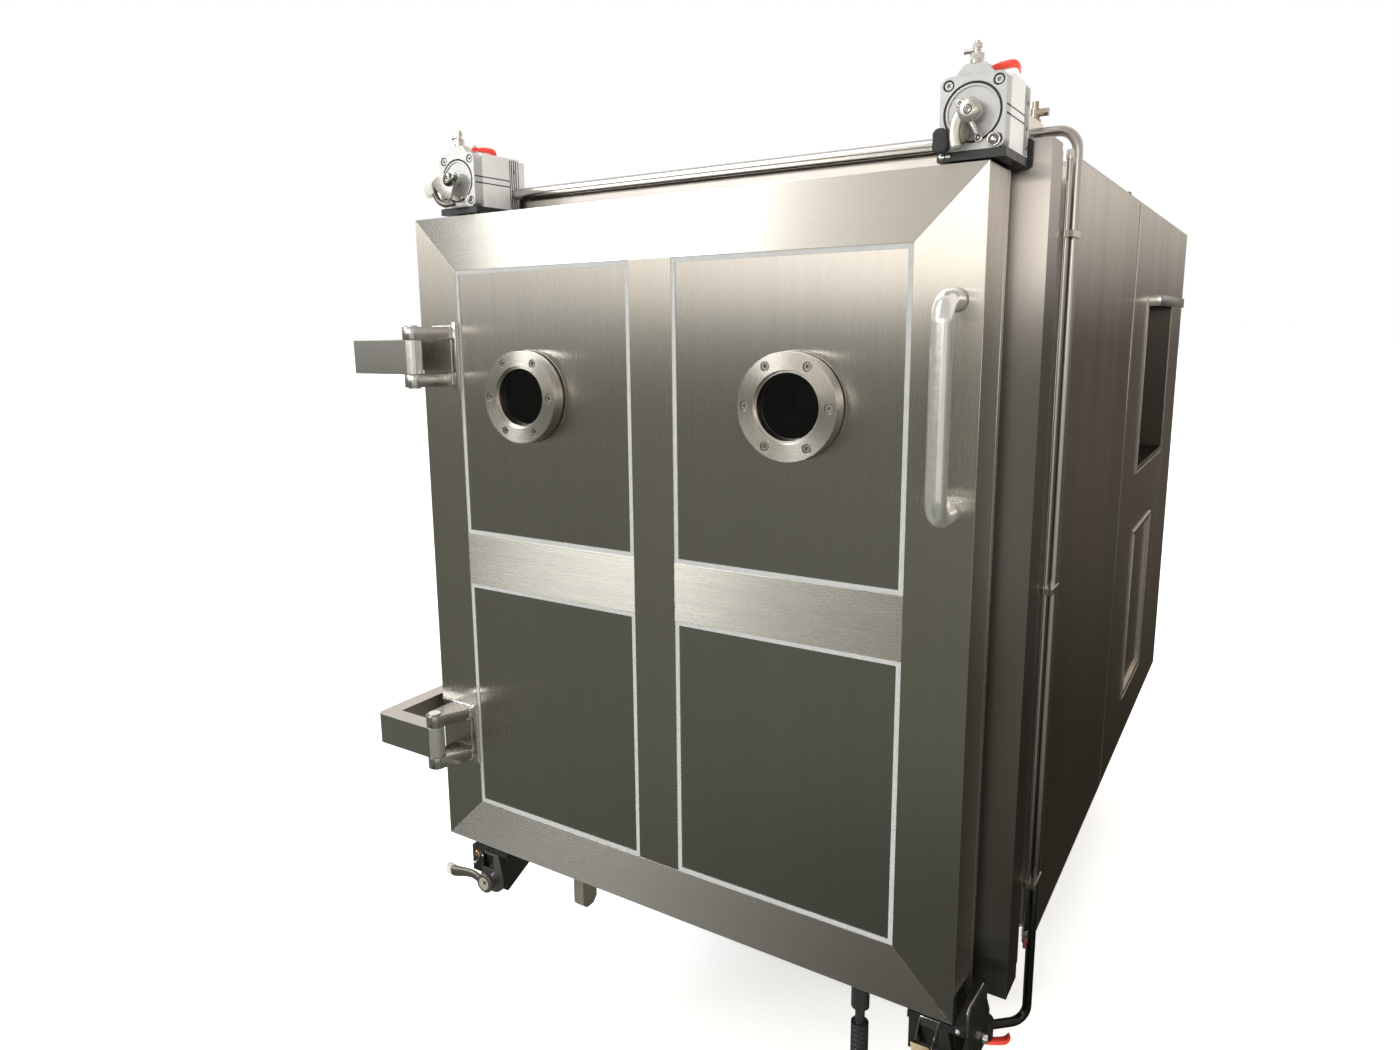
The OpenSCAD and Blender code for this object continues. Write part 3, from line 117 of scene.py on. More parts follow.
class Paint(Nodes):
    """A Principled material: tones and bumps add up until done() links them to the shader."""

    def __init__(self, name, color, metallic=0.0, roughness=0.4):
        self.mat = bpy.data.materials.new(name)
        self.mat.use_nodes = True
        self.tree = self.mat.node_tree
        self.shader = self.tree.nodes["Principled BSDF"]
        self.color = self.node("ShaderNodeRGB").outputs[0]
        self.color.default_value = (*color, 1.0)
        self.set("Metallic", metallic)
        self.set("Roughness", roughness)
        self.mat.diffuse_color = (*color, 1.0)
        self.normal = None

    def set(self, socket, value):
        self.shader.inputs[socket].default_value = value

    def place(self, scale=(1, 1, 1)):
        coords = self.node("ShaderNodeTexCoord").outputs["Object"]
        return self.node("ShaderNodeMapping", {"Scale": scale, "Vector": coords}).outputs["Vector"]

    def noise(self, scale, detail=2.0, rough=0.5, stretch=(1, 1, 1)):
        inputs = {"Scale": scale, "Detail": detail, "Roughness": rough, "Vector": self.place(stretch)}
        return self.node("ShaderNodeTexNoise", inputs).outputs["Fac"]

    def scale_color(self, value):
        made = self.node("ShaderNodeVectorMath", {0: self.color, "Scale": value}, operation="SCALE")
        self.color = made.outputs["Vector"]

    def shade(self, value, amount):
        """Darkens and lightens the colour by the value's distance from a half."""
        self.scale_color(self.remap(value, 0.0, 1.0, 1.0 - amount, 1.0 + amount))

    def gloss(self, value, low, high, smoothest, roughest):
        self.link(self.remap(value, low, high, smoothest, roughest), self.shader.inputs["Roughness"])

    def relief(self, value, strength, distance):
        bump = self.node("ShaderNodeBump", {"Strength": strength, "Distance": distance, "Height": value})
        if self.normal is not None:
            self.link(self.normal, bump.inputs["Normal"])
        self.normal = bump.outputs["Normal"]

    def soft_edges(self, radius):
        """Rounds edges in the shading only, by a radius in millimetres."""
        self.normal = self.node("ShaderNodeBevel", {"Radius": radius * MM}, samples=4).outputs["Normal"]

    def spread_gloss(self, direction, amount):
        """Anisotropic gloss, drawn out along a direction of the object: across the grain."""
        turn = self.node("ShaderNodeVectorTransform", {"Vector": direction}, vector_type="VECTOR",
                         convert_from="OBJECT", convert_to="WORLD")
        self.link(turn.outputs["Vector"], self.shader.inputs["Tangent"])
        self.set("Anisotropic", amount)

    def done(self):
        self.link(self.color, self.shader.inputs["Base Color"])
        if self.normal is not None:
            self.link(self.normal, self.shader.inputs["Normal"])
        return self.mat


ACROSS = {"x": (0, 1, 1), "y": (1, 0, 1), "z": (1, 1, 0)}


def stretched(grain, along, across):
    """Noise scales that draw streaks along the grain axis."""
    return tuple(along if letter == grain else across for letter in "xyz")


def brushed(name, color, grain, rough=0.27, gloss_spread=1.0, streaks=0.05, clouds=0.05, edge=0.8,
            bands=0.0):
    """Brushed stainless steel: fine hairlines, broader streaks and soft clouds of tone."""
    p = Paint(name, color, metallic=1.0)
    p.soft_edges(edge)
    hair = p.noise(1.0, 3.0, 0.65, stretched(grain, 4, 900))
    streak = p.noise(1.0, 2.0, 0.6, stretched(grain, 1.2, 60))
    cloud = p.noise(1.8, 3.0, 0.5, stretched(grain, 0.6, 1.6))
    p.shade(hair, streaks)
    p.shade(streak, streaks * 0.7)
    p.shade(cloud, clouds)
    if bands:
        p.shade(p.noise(1.0, 2.5, 0.55, stretched(grain, 0.5, 9)), bands)
    p.gloss(hair, 0.25, 0.75, rough - 0.015, rough + 0.015)
    p.spread_gloss(ACROSS[grain], gloss_spread)
    return p.done()


def polished(name, color, rough=0.18, scale=160.0, edge=0.8, metallic=1.0):
    """Polished steel or nickel with faint marks and an uneven gloss."""
    p = Paint(name, color, metallic=metallic)
    p.soft_edges(edge)
    marks = p.noise(scale, 4.0, 0.6)
    smear = p.noise(14.0, 3.0, 0.55)
    p.shade(smear, 0.10)
    p.gloss(marks, 0.2, 0.8, rough - 0.06, rough + 0.08)
    p.relief(marks, 0.10, 0.0001)
    return p.done()


def cast(name, color, rough=0.5, metallic=0.85):
    """Bead-blasted or cast metal with a fine sandy skin."""
    p = Paint(name, color, metallic=metallic)
    p.soft_edges(1.2)
    sand = p.noise(900.0, 3.0, 0.7)
    stain = p.noise(30.0, 4.0, 0.6)
    p.shade(stain, 0.12)
    p.gloss(sand, 0.2, 0.8, rough - 0.1, rough + 0.1)
    p.relief(sand, 0.25, 0.00015)
    return p.done()


def painted(name, color, rough=0.35):
    """Paint over metal, with orange peel and dusty patches."""
    p = Paint(name, color)
    p.soft_edges(1.0)
    peel = p.noise(240.0, 2.0, 0.5)
    dust = p.noise(40.0, 4.0, 0.6)
    p.shade(dust, 0.15)
    p.gloss(dust, 0.3, 0.7, rough - 0.08, rough + 0.12)
    p.relief(peel, 0.12, 0.0002)
    p.set("Coat Weight", 0.25)
    return p.done()


def rubber(name, color, rough=0.7):
    """Rubber with a fine grain and a dull bloom."""
    p = Paint(name, color)
    p.soft_edges(1.2)
    grain = p.noise(700.0, 3.0, 0.6)
    bloom = p.noise(60.0, 3.0, 0.6)
    p.shade(bloom, 0.25)
    p.gloss(bloom, 0.3, 0.7, rough - 0.1, rough + 0.1)
    p.relief(grain, 0.3, 0.0002)
    return p.done()


def sealant():
    """Pale grey sealant, tooled a little unevenly."""
    p = Paint("sealant", (0.33, 0.33, 0.32), roughness=0.55)
    wobble = p.noise(90.0, 3.0, 0.5)
    p.shade(wobble, 0.14)
    p.relief(wobble, 0.4, 0.0006)
    return p.done()


def turned(name, color):
    """Steel faced on a lathe: fine rings round the Y axis of each sight glass."""
    p = Paint(name, color, metallic=1.0)
    p.soft_edges(0.7)
    # both glasses share the material, so the distance is folded about the door's middle
    coords = p.node("ShaderNodeTexCoord").outputs["Object"]
    inputs = {0: coords, 1: (1, 0, 1), 2: (-DOOR_X, 0, -SIGHT_Z)}
    flat = p.node("ShaderNodeVectorMath", inputs, operation="MULTIPLY_ADD")
    fold = p.node("ShaderNodeSeparateXYZ", {"Vector": flat.outputs["Vector"]})
    x, z = fold.outputs["X"], fold.outputs["Z"]
    side = p.math("SUBTRACT", p.math("ABSOLUTE", x), SIGHT_REACH)
    radius = p.math("SQRT", p.math("ADD", p.math("POWER", side, 2.0), p.math("POWER", z, 2.0)))
    inputs = {"Scale": 1.0, "Detail": 3.0, "W": p.math("MULTIPLY", radius, 1500.0)}
    tone = p.node("ShaderNodeTexNoise", inputs, noise_dimensions="1D").outputs["Fac"]
    p.shade(tone, 0.10)
    p.gloss(tone, 0.2, 0.8, 0.20, 0.30)
    p.relief(tone, 0.2, 0.00015)
    outward = p.node("ShaderNodeCombineXYZ", {"X": p.math("MULTIPLY", side, p.math("SIGN", x)), "Z": z})
    p.spread_gloss(outward.outputs["Vector"], 0.8)
    return p.done()


def pipe_painted_dark_low_end():
    """Satin tube whose colour darkens towards the low end near the floor: a painted dark reflection."""
    p = Paint("pipe_steel", (0.60, 0.57, 0.54), metallic=1.0, roughness=0.24)
    p.soft_edges(0.6)
    p.shade(p.noise(9.0, 3.0, 0.5), 0.12)
    split = p.node("ShaderNodeSeparateXYZ", {"Vector": p.place()})
    height = p.math("SUBTRACT", split.outputs["Z"], DOOR_Z)
    # painted dark reflection: the colour falls to 7 % of itself at the pipe's low end
    p.scale_color(p.remap(height, -0.02, 0.42, 0.07, 1.0, smooth=True))
    return p.done()


def dark_glass():
    """Glass before an unlit chamber: dark, smooth and half clear."""
    p = Paint("dark_glass", (0.003, 0.0035, 0.0035), roughness=0.04)
    p.gloss(p.noise(45.0, 3.0, 0.6), 0.3, 0.8, 0.02, 0.12)
    p.set("Specular IOR Level", 0.5)
    p.set("Alpha", 0.4)
    return p.done()


def foam():
    """Yellowish insulating foam with open cells."""
    p = Paint("foam", (0.62, 0.56, 0.36), roughness=0.9)
    cells = p.noise(500.0, 3.0, 0.7)
    p.shade(cells, 0.2)
    p.relief(cells, 0.6, 0.0005)
    return p.done()


STEEL = (0.62, 0.585, 0.53)
WARM_STEEL = (0.60, 0.55, 0.49)

level = brushed("steel_level", STEEL, "x", 0.25, streaks=0.07)
# painted shade: a darker copy of the level steel, for the door's bottom member
level_painted_shade = brushed("steel_level_painted_shade", (0.46, 0.435, 0.395), "x", 0.25, streaks=0.07)
upright = brushed("steel_upright", STEEL, "z")
panel_steel = brushed("panel_steel", (0.56, 0.53, 0.49), "z", streaks=0.07)
frame_steel = brushed("frame_steel", (0.44, 0.41, 0.385), "z", 0.24, bands=0.10)
clad_steel = brushed("cladding_steel", WARM_STEEL, "z", 0.22, streaks=0.045, clouds=0.08, bands=0.22)
roof_steel = brushed("roof_steel", WARM_STEEL, "y")
hinge_steel = brushed("hinge_steel", (0.60, 0.58, 0.555), "z", 0.26, gloss_spread=0.6)
lug_steel = polished("lug_steel", (0.70, 0.68, 0.65), 0.16)
# painted shade: a dark copy of the lug steel for the lugs' upward faces
lug_top_painted_shade = polished("lug_top_painted_shade", (0.24, 0.225, 0.21), 0.24)
knuckle_steel = polished("knuckle_steel", (0.84, 0.82, 0.79), 0.17, metallic=0.9)
aged_brass = polished("aged_brass", (0.46, 0.39, 0.31), 0.25)
pipe_steel = pipe_painted_dark_low_end()
vessel_steel = brushed("vessel_steel", (0.66, 0.65, 0.62), "y", 0.4)
stand_steel = brushed("stand_steel", (0.52, 0.51, 0.49), "z", 0.45, edge=2.0)
tube_steel = polished("tube_steel", (0.86, 0.84, 0.80), 0.17, metallic=0.87)
nickel = polished("nickel", (0.74, 0.70, 0.64), 0.2)
ring_steel = turned("ring_steel", (0.70, 0.66, 0.60))
screw_steel = polished("screw_steel", (0.42, 0.39, 0.35), 0.3)
clamp_alloy = cast("clamp_alloy", (0.72, 0.715, 0.70), 0.42, metallic=0.3)
cap_alloy = cast("cap_alloy", (0.45, 0.445, 0.43), 0.34, metallic=0.6)
# painted shade: a nearly black alloy for the parts that sit in shade low down
alloy_painted_shade = cast("alloy_painted_shade", (0.075, 0.072, 0.065), 0.38)
arm_steel = cast("arm_steel", (0.56, 0.54, 0.49), 0.28)
rod_steel = polished("rod_steel", (0.80, 0.79, 0.76), 0.12)
black_paint = painted("black_paint", (0.010, 0.0105, 0.010), 0.42)
red_paint = painted("red_paint", (0.78, 0.045, 0.025), 0.3)
black_rubber = rubber("black_rubber", (0.02, 0.02, 0.021))
pale_rubber = rubber("pale_rubber", (0.44, 0.44, 0.38))
gasket_rubber = rubber("gasket_rubber", (0.012, 0.012, 0.013), 0.6)
lug_metal = cast("lug_metal", (0.50, 0.47, 0.38), 0.5)
weld_metal = polished("weld_metal", (0.50, 0.47, 0.42), 0.3, 300.0, 0.3)
# dark seams and joints, and painted shade in recesses
dark_seams_and_painted_shade = cast("dark_seams_and_painted_shade", (0.16, 0.15, 0.135), 0.5)
brass = polished("brass", (0.72, 0.42, 0.28), 0.25)
# dark brown: the upper left finger's own colour, and painted shadow on the plate below the upper right hub
dark_brown_and_painted_shadow = cast("dark_brown_and_painted_shadow", (0.13, 0.115, 0.09), 0.34)
knob_dark = polished("knob_dark", (0.22, 0.22, 0.20), 0.2)
bright_nickel = polished("bright_nickel", (0.86, 0.84, 0.80), 0.14)
stem_grey = cast("stem_grey", (0.17, 0.155, 0.13), 0.4)
pale_plug = cast("pale_plug", (0.27, 0.27, 0.21), 0.5, metallic=0.2)
# painted shade: a dark grey for the lower left clamp's front, which sits in shade
cap_grey_painted_shade = cast("cap_grey_painted_shade", (0.17, 0.17, 0.165), 0.45)
# painted shade: a dark copy of the cladding steel for the inside of the service recess
recess_painted_shade = brushed("recess_painted_shade", (0.13, 0.115, 0.10), "z", 0.35)
tan_plug = cast("tan_plug", (0.46, 0.36, 0.22), 0.5, metallic=0.3)
# black for slots and joints, and painted shade in recesses and openings
black_lines_and_painted_shade = rubber("black_lines_and_painted_shade", (0.016, 0.015, 0.014), 0.6)
gland_red = painted("gland_red", (0.16, 0.02, 0.015), 0.4)
drain_metal = cast("drain_metal", (0.10, 0.10, 0.10), 0.35)
sealant_grey = sealant()
dark_glass_mat = dark_glass()
foam_mat = foam()


def paint(material, *names):
    """Gives CAD nodes their material."""
    for name in names:
        mesh = NODES[name].data
        mesh.materials.clear()
        mesh.materials.append(material)


def paint_bars():
    """The cross of bars is one node: faces beyond the middle bar's edge take the level grain."""
    mesh = NODES["door_bars"].data
    mesh.materials.clear()
    mesh.materials.append(brushed("bar_steel_upright", STEEL, "z"))
    mesh.materials.append(brushed("bar_steel_level", STEEL, "x", streaks=0.08))
    for face in mesh.polygons:
        face.material_index = int(abs(face.center.x - DOOR_X) > BAR_HALF + 0.1 * MM)


paint(level, "door_top_member")
# painted shade: the bottom member takes the darker copy of the level steel
paint(level_painted_shade, "door_bottom_member")
paint(upright, "door_left_member", "door_right_member", "door_inner_plate")
paint_bars()
paint(panel_steel, "door_panels")
paint(sealant_grey, "panel_sealant")
paint(foam_mat, "door_insulation", "vessel_insulation")
paint(gasket_rubber, "door_gasket")
paint(ring_steel, "sight_rings", "sight_necks")
paint(dark_glass_mat, "sight_glasses")
paint(screw_steel, "sight_screws")
paint(tube_steel, "door_handle", "hinge_pins", "vacuum_port")
paint(pipe_steel, "air_pipes")
paint(hinge_steel, "hinge_leaves", "hinge_arms")
paint(stand_steel, "stand_frame", "levelling_feet")
paint(vessel_steel, "vessel_sides", "vessel_decks", "vessel_partition", "vessel_back_wall")
paint(vessel_steel, "shelves", "shelf_rack", "fluid_headers", "condenser_headers", "condenser_tubes")
paint(frame_steel, "front_frame", "neck_shroud")
paint(clad_steel, "cladding_left", "cladding_right", "cladding_ends", "service_recess", "hatch_cover")
paint(roof_steel, "cladding_roof", "cladding_belly")
paint(black_paint, "clamp_brackets")
paint(clamp_alloy, "clamp_body_upper_right", "clamp_body_upper_left")
# painted shade: the lower clamps' bodies are nearly black because they sit in shade below the chamber
paint(alloy_painted_shade, "clamp_body_lower_left", "clamp_body_lower_right")
paint(rod_steel, *(f"clamp_rod_{place}" for place in CLAMPS))
paint(arm_steel, *(f"clamp_arm_{place}" for place in CLAMPS))
paint(red_paint, *(f"valve_lever_{place}" for place in (*UPPER, "lower_right")))
paint(nickel, "pipe_fittings")
paint(drain_metal, "drain_valve")
paint(lug_metal, "bottom_lug")


# ---- mesh helpers --------------------------------------------------------------------------


def add_mesh(name, bm, material, body, rounding=0.0):
    """Turns a bmesh into a piece that rides on a body, with its sharp edges rounded."""
    bmesh.ops.recalc_face_normals(bm, faces=bm.faces)
    if rounding:
        sharp = [e for e in bm.edges if e.is_manifold and e.calc_face_angle() > math.radians(35)]
        bmesh.ops.bevel(bm, geom=sharp, offset=rounding * MM, segments=3, profile=0.5,
                        affect="EDGES", clamp_overlap=True)
    mesh = bpy.data.meshes.new(name)
    bm.to_mesh(mesh)
    bm.free()
    for face in mesh.polygons:
        face.use_smooth = True
    mesh.set_sharp_from_angle(angle=math.radians(32))
    mesh.materials.append(material)
    piece = bpy.data.objects.new(name, mesh)
    bpy.context.scene.collection.objects.link(piece)
    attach(piece, body)
    return piece


def circle(count):
    """Angles of evenly spaced points round a circle."""
    return [2 * math.pi * i / count for i in range(count)]


def skin(bm, rings, capped=False):
    """Joins rings of points into a tube: a ring of one point closes an end, and so does a cap."""
    if capped:
        bm.faces.new(rings[0])
        bm.faces.new(rings[-1])
    sides = max(len(ring) for ring in rings)
    for a, b in zip(rings, rings[1:]):
        for i in range(sides):
            j = (i + 1) % sides
            loop = (a[i % len(a)], a[j % len(a)], b[j % len(b)], b[i % len(b)])
            bm.faces.new(list(dict.fromkeys(loop)))


def lathe(bm, origin, axis, profile, sides=40):
    """Turned solid from (distance along the axis, radius) pairs in millimetres."""
    axis = Vector(axis).normalized()
    across = axis.orthogonal().normalized()
    up = axis.cross(across)
    rings = []
    for along, radius in profile:
        middle = origin + axis * along * MM
        if radius == 0:
            rings.append([bm.verts.new(middle)])
            continue
        spokes = [across * math.cos(t) + up * math.sin(t) for t in circle(sides)]
        rings.append([bm.verts.new(middle + spoke * radius * MM) for spoke in spokes])
    skin(bm, rings)


def disc(bm, place, axis, radius, tall, sides):
    lathe(bm, place, axis, [(0, 0), (0, radius), (tall, radius), (tall, 0)], sides)


def hoop(bm, place, axis, inner, outer, tall, sides):
    """Flat ring from an inner to an outer radius."""
    profile = [(0, inner), (0, outer), (tall, outer), (tall, inner), (0, inner)]
    lathe(bm, place, axis, profile, sides)


def stud(bm, place, radius, shoulder, tip, tall, sides=24, axis=FRONT):
    """Stub that narrows from its radius at the shoulder's height to the tip's radius at its top."""
    lathe(bm, place, axis, [(0, 0), (0, radius), (shoulder, radius), (tall, tip), (tall, 0)], sides)


def extrude(bm, outline, depth):
    """Solid from an outline of points, pushed along a vector."""
    near = [bm.verts.new(p) for p in outline]
    far = [bm.verts.new(Vector(p) + depth) for p in outline]
    bm.faces.new(near)
    bm.faces.new(far)
    for i, v in enumerate(near):
        j = (i + 1) % len(near)
        bm.faces.new((v, near[j], far[j], far[i]))


def front_plate(bm, outline, y0, y1):
    """Plate from an outline of (x, z) pairs between two depths, in the machine's millimetres."""
    extrude(bm, [at(x, y0, z) for x, z in outline], Vector((0, (y1 - y0) * MM, 0)))


def around(x, z, outline):
    """An outline given from a point, in the machine's millimetres."""
    return [(x + dx, z + dz) for dx, dz in outline]


def side_plate(bm, outline, x0, x1):
    extrude(bm, [at(x0, y, z) for y, z in outline], Vector(((x1 - x0) * MM, 0, 0)))


def bar(bm, x0, x1, y0, y1, z0, z1):
    front_plate(bm, [(x0, z0), (x1, z0), (x1, z1), (x0, z1)], y0, y1)


def curve_through(points, steps=6):
    """Smooth curve through points of any dimension (Catmull-Rom)."""
    ends = [points[0], *points, points[-1]]
    made = []
    for four in zip(ends, ends[1:], ends[2:], ends[3:]):
        for i in range(steps):
            t = i / steps
            made.append(tuple(
                0.5 * (2 * q + (r - p) * t + (2 * p - 5 * q + 4 * r - s) * t**2
                       + (3 * q - p - 3 * r + s) * t**3)
                for p, q, r, s in zip(*four)
            ))
    return [*made, tuple(points[-1])]


def squared(turn, power):
    """Cosine and sine of an angle, pushed out towards a square."""
    return (math.copysign(abs(value) ** power, value) for value in (math.cos(turn), math.sin(turn)))


def finger(bm, origin, stations, sides=20):
    """Rounded bar through stations (x, y, z, half width, half depth) that are given from an origin."""
    path = curve_through([
        (*(zero + value for zero, value in zip(origin, station)), *station[3:]) for station in stations
    ])
    middle = [Vector(s[:3]) for s in path]
    rings = []
    last = len(path) - 1
    for i, (_, _, _, wide, deep) in enumerate(path):
        ahead = (middle[min(i + 1, last)] - middle[max(i - 1, 0)]).normalized()
        side = ahead.cross(Vector((0, 1, 0))).normalized()
        # both ends are drawn out by about half the width and narrow there: (push, share of the size)
        tip, neck = 0.55 * wide, 0.55 * wide * 0.8
        slices = [(0.0, 1.0)]
        if i == 0:
            slices = [(-tip, 0.45), (-neck, 0.75), (0.0, 1.0)]
        if i == last:
            slices = [(0.0, 1.0), (neck, 0.75), (tip, 0.45)]
        for push, share in slices:
            ring = []
            for turn in circle(sides):
                c, s = squared(turn, 0.8)
                offset = side * c * wide * share + Vector((0, s * deep * share, 0))
                ring.append(bm.verts.new(at(*(middle[i] + ahead * push + offset))))
            rings.append(ring)
    skin(bm, rings, capped=True)


def weld_path(bm, points, bead, closed=False, seed=1):
    """Weld bead: a string of overlapping flattened drops along points, as a ripple shows."""
    rnd = random.Random(seed)
    ends = points[1:] + points[:1] if closed else points[1:]
    for a, b in zip(points, ends):
        count = max(1, round((b - a).length / (bead * 0.8 * MM)))
        for i in range(count):
            size = bead * MM * rnd.uniform(0.85, 1.12)
            made = bmesh.ops.create_icosphere(bm, subdivisions=2, radius=size)["verts"]
            place = a.lerp(b, (i + 0.5) / count)
            for v in made:
                v.co = place + v.co * 0.9


def ring_points(x, y, z, radius, count=40):
    return [at(x + radius * math.cos(t), y, z + radius * math.sin(t)) for t in circle(count)]


# ---- clamps --------------------------------------------------------------------------------

# where each clamp's axis is (x, z), and the depth at which its arm's hub ends behind
AXES = {"upper_right": (524, 1357), "upper_left": (-431, 1357),
        "lower_left": (-431, -72), "lower_right": (524, -72)}
HUB_BACK = {"upper_right": -8.93, "upper_left": -12.0, "lower_left": -14.0, "lower_right": -14.0}
# every hub's profile starts with the blind bore in which its rod ends
BORE = [(10.3, 0), (10.3, 9.3), (0, 9.3)]
# the rubber sleeve on an arm's end: (distance along the arm, share of its half width and depth)
PAD_PROFILE = ((-12, 0.0), (-12, 0.86), (-11.2, 0.93), (-2, 0.97), (4, 1.0), (7.5, 0.95),
               (10.2, 0.8), (11.6, 0.55), (12, 0.0))
PAD_HALF, PAD_DEEP = 13.5, 8.3


def add_screw(where, depth, tall):
    """Socket head screw with its hexagon hole, in the middle of an upper arm's hub."""
    x, z = AXES[where]
    r, hole, sunk = 5.0, 5.0 * 0.55, tall - 1.6
    bm = bmesh.new()
    lathe(bm, at(x, HUB_BACK[where] - depth, z), FRONT,
          [(0, 0), (0, r), (tall - 0.6, r), (tall, r - 0.6), (tall, hole), (sunk, hole), (sunk, 0)], 24)
    add_mesh(f"arm_screw_{where}", bm, screw_steel, f"clamp_arm_{where}", rounding=0.25)


def add_pad(where, middle, y, swing, side, material):
    """Rubber sleeve on the arm's end: round ended, its axis along the arm."""
    turn = math.radians(swing)
    along = Vector((side * math.cos(turn), 0, -math.sin(turn)))
    up = Vector((0, 1, 0)).cross(along).normalized()
    bm = bmesh.new()
    rings = []
    for push, share in PAD_PROFILE:
        centre = Vector((middle[0], y, middle[1])) + along * push
        if share == 0:
            rings.append([bm.verts.new(at(*centre))])
            continue
        wide, deep = PAD_HALF * share, PAD_DEEP * share
        rings.append([
            bm.verts.new(at(*(centre + up * math.cos(t) * wide + Vector((0, math.sin(t) * deep, 0)))))
            for t in circle(32)
        ])
    skin(bm, rings)
    add_mesh(f"arm_pad_{where}", bm, material, f"clamp_arm_{where}", rounding=0.6)


def upper_right_arm():
    """Domed hub with a lobe, a finger that curves down to the pad, a dark brown plate below the hub as
    painted shadow, and an upright rubber pad.
    """
    body = "clamp_arm_upper_right"
    x, z = AXES["upper_right"]
    bm = bmesh.new()
    lathe(bm, at(x, HUB_BACK["upper_right"], z), FRONT,
          [*BORE, (0, 15.2), (0.8, 16), (7.5, 16), (9.8, 14.7), (11.8, 12), (12.8, 8.5), (13, 6.4),
           (12.5, 5.4), (11, 5.4), (11, 0)])
    lathe(bm, at(x - 11.5, -9, z + 9.5), FRONT,
          [(0, 0), (0, 6), (8.5, 6), (10, 4.8), (10, 2.6), (8, 2.6), (8, 0)], 24)
    # past 29 mm from the axis both fingers stay clear of the cap's adjusters when the arm draws in
    seat = (x, -15.7, z)
    finger(bm, seat, [(-5, 1.4, -1, 9, 4.6), (-14, 0.8, -8, 8, 4.4), (-18, 0, -20, 7.4, 4.1),
                      (-18, 0, -33, 7.6, 4.1), (-16, 0, -44, 7.6, 4.0)])
    finger(bm, seat, [(2, 1.5, -13, 4, 3.4), (7, 0.6, -22, 3.4, 3.0), (11, 0.3, -31, 2.8, 2.6)])
    arm = add_mesh("arm_upper_right", bm, arm_steel, body, rounding=0.5)
    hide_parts("clamp_arm_upper_right")
    bm = bmesh.new()
    # painted shadow: a dark brown plate below the hub stands for the shade there
    shadow_outline = [(-13, -15), (-4, -15), (3, -25), (1, -36), (-7, -43), (-13, -37)]
    front_plate(bm, around(x, z, shadow_outline), -16.2, -12.6)
    add_mesh("arm_shadow_plate_upper_right", bm, dark_brown_and_painted_shadow, body, rounding=1.2)
    bm = bmesh.new()
    pad = [(-8, 13.6), (-4, 15.6), (3, 15.6), (7.5, 13.4), (10.1, 8.5), (9.8, 2), (10.6, -3), (10.6, -10),
           (8.6, -14.6), (3, -16), (-6, -16), (-10.2, -13.6), (-10.8, -7), (-10, 2), (-10.6, 8.5)]
    front_plate(bm, around(x - 36.5, z - 34.2, pad), -20.6, -7.4)
    add_mesh("arm_pad_upper_right", bm, black_rubber, body, rounding=2.6)
    add_screw("upper_right", 11.1, 2.6)


def upper_left_arm():
    """Dark domed knob on a bright flange, a flat plate, a dark curved finger and a pale pad."""
    body = "clamp_arm_upper_left"
    x, z = AXES["upper_left"]
    back = HUB_BACK["upper_left"]
    bm = bmesh.new()
    lathe(bm, at(x, back, z), FRONT, [*BORE, (0, 15.4), (0.8, 16), (4.6, 16), (5.6, 15), (5.6, 11.6),
                                      (7, 11), (10.2, 11), (10.8, 0)])
    plate = [(-36, 6), (-44, -1), (-40, -12), (-20, -27), (-3, -37), (3, -33), (6, -22), (10, -12),
             (-4, 9), (-14, 12)]
    front_plate(bm, around(x, z, plate), back - 9.6, back - 5.2)
    arm = add_mesh("arm_upper_left", bm, arm_steel, body, rounding=0.8)
    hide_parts("clamp_arm_upper_left")
    bm = bmesh.new()
    lathe(bm, at(x, back - 9.7, z), FRONT,
          [(0, 0), (0, 11.5), (1.2, 12.8), (3.4, 12.6), (5.2, 10.6), (6.2, 7.4), (6.3, 5.6), (5.8, 5.2),
           (3.4, 5.2), (3.4, 0)])
    lathe(bm, at(x + 12.5, back - 5, z + 2), FRONT,
          [(0, 0), (0, 5.6), (6.5, 5.6), (8.2, 4.4), (8.8, 2.2), (8.8, 0)], 28)
    add_mesh("arm_knob_upper_left", bm, knob_dark, body, rounding=0.3)
    bm = bmesh.new()
    finger(bm, (x, back - 7.6, z), [(-43, 0, -13, 5.2, 4.2), (-38, 0, -27, 5.2, 4.2), (-27, 0, -39, 5, 4.2),
                                    (-12, 0, -44.5, 4.6, 4), (8, 0, -43.5, 4, 3.6)])
    add_mesh("arm_finger_upper_left", bm, dark_brown_and_painted_shadow, body)
    add_pad("upper_left", (x - 52.2, z - 14), -18.7, 15, -1, pale_rubber)
    add_screw("upper_left", 11.5, 3.4)


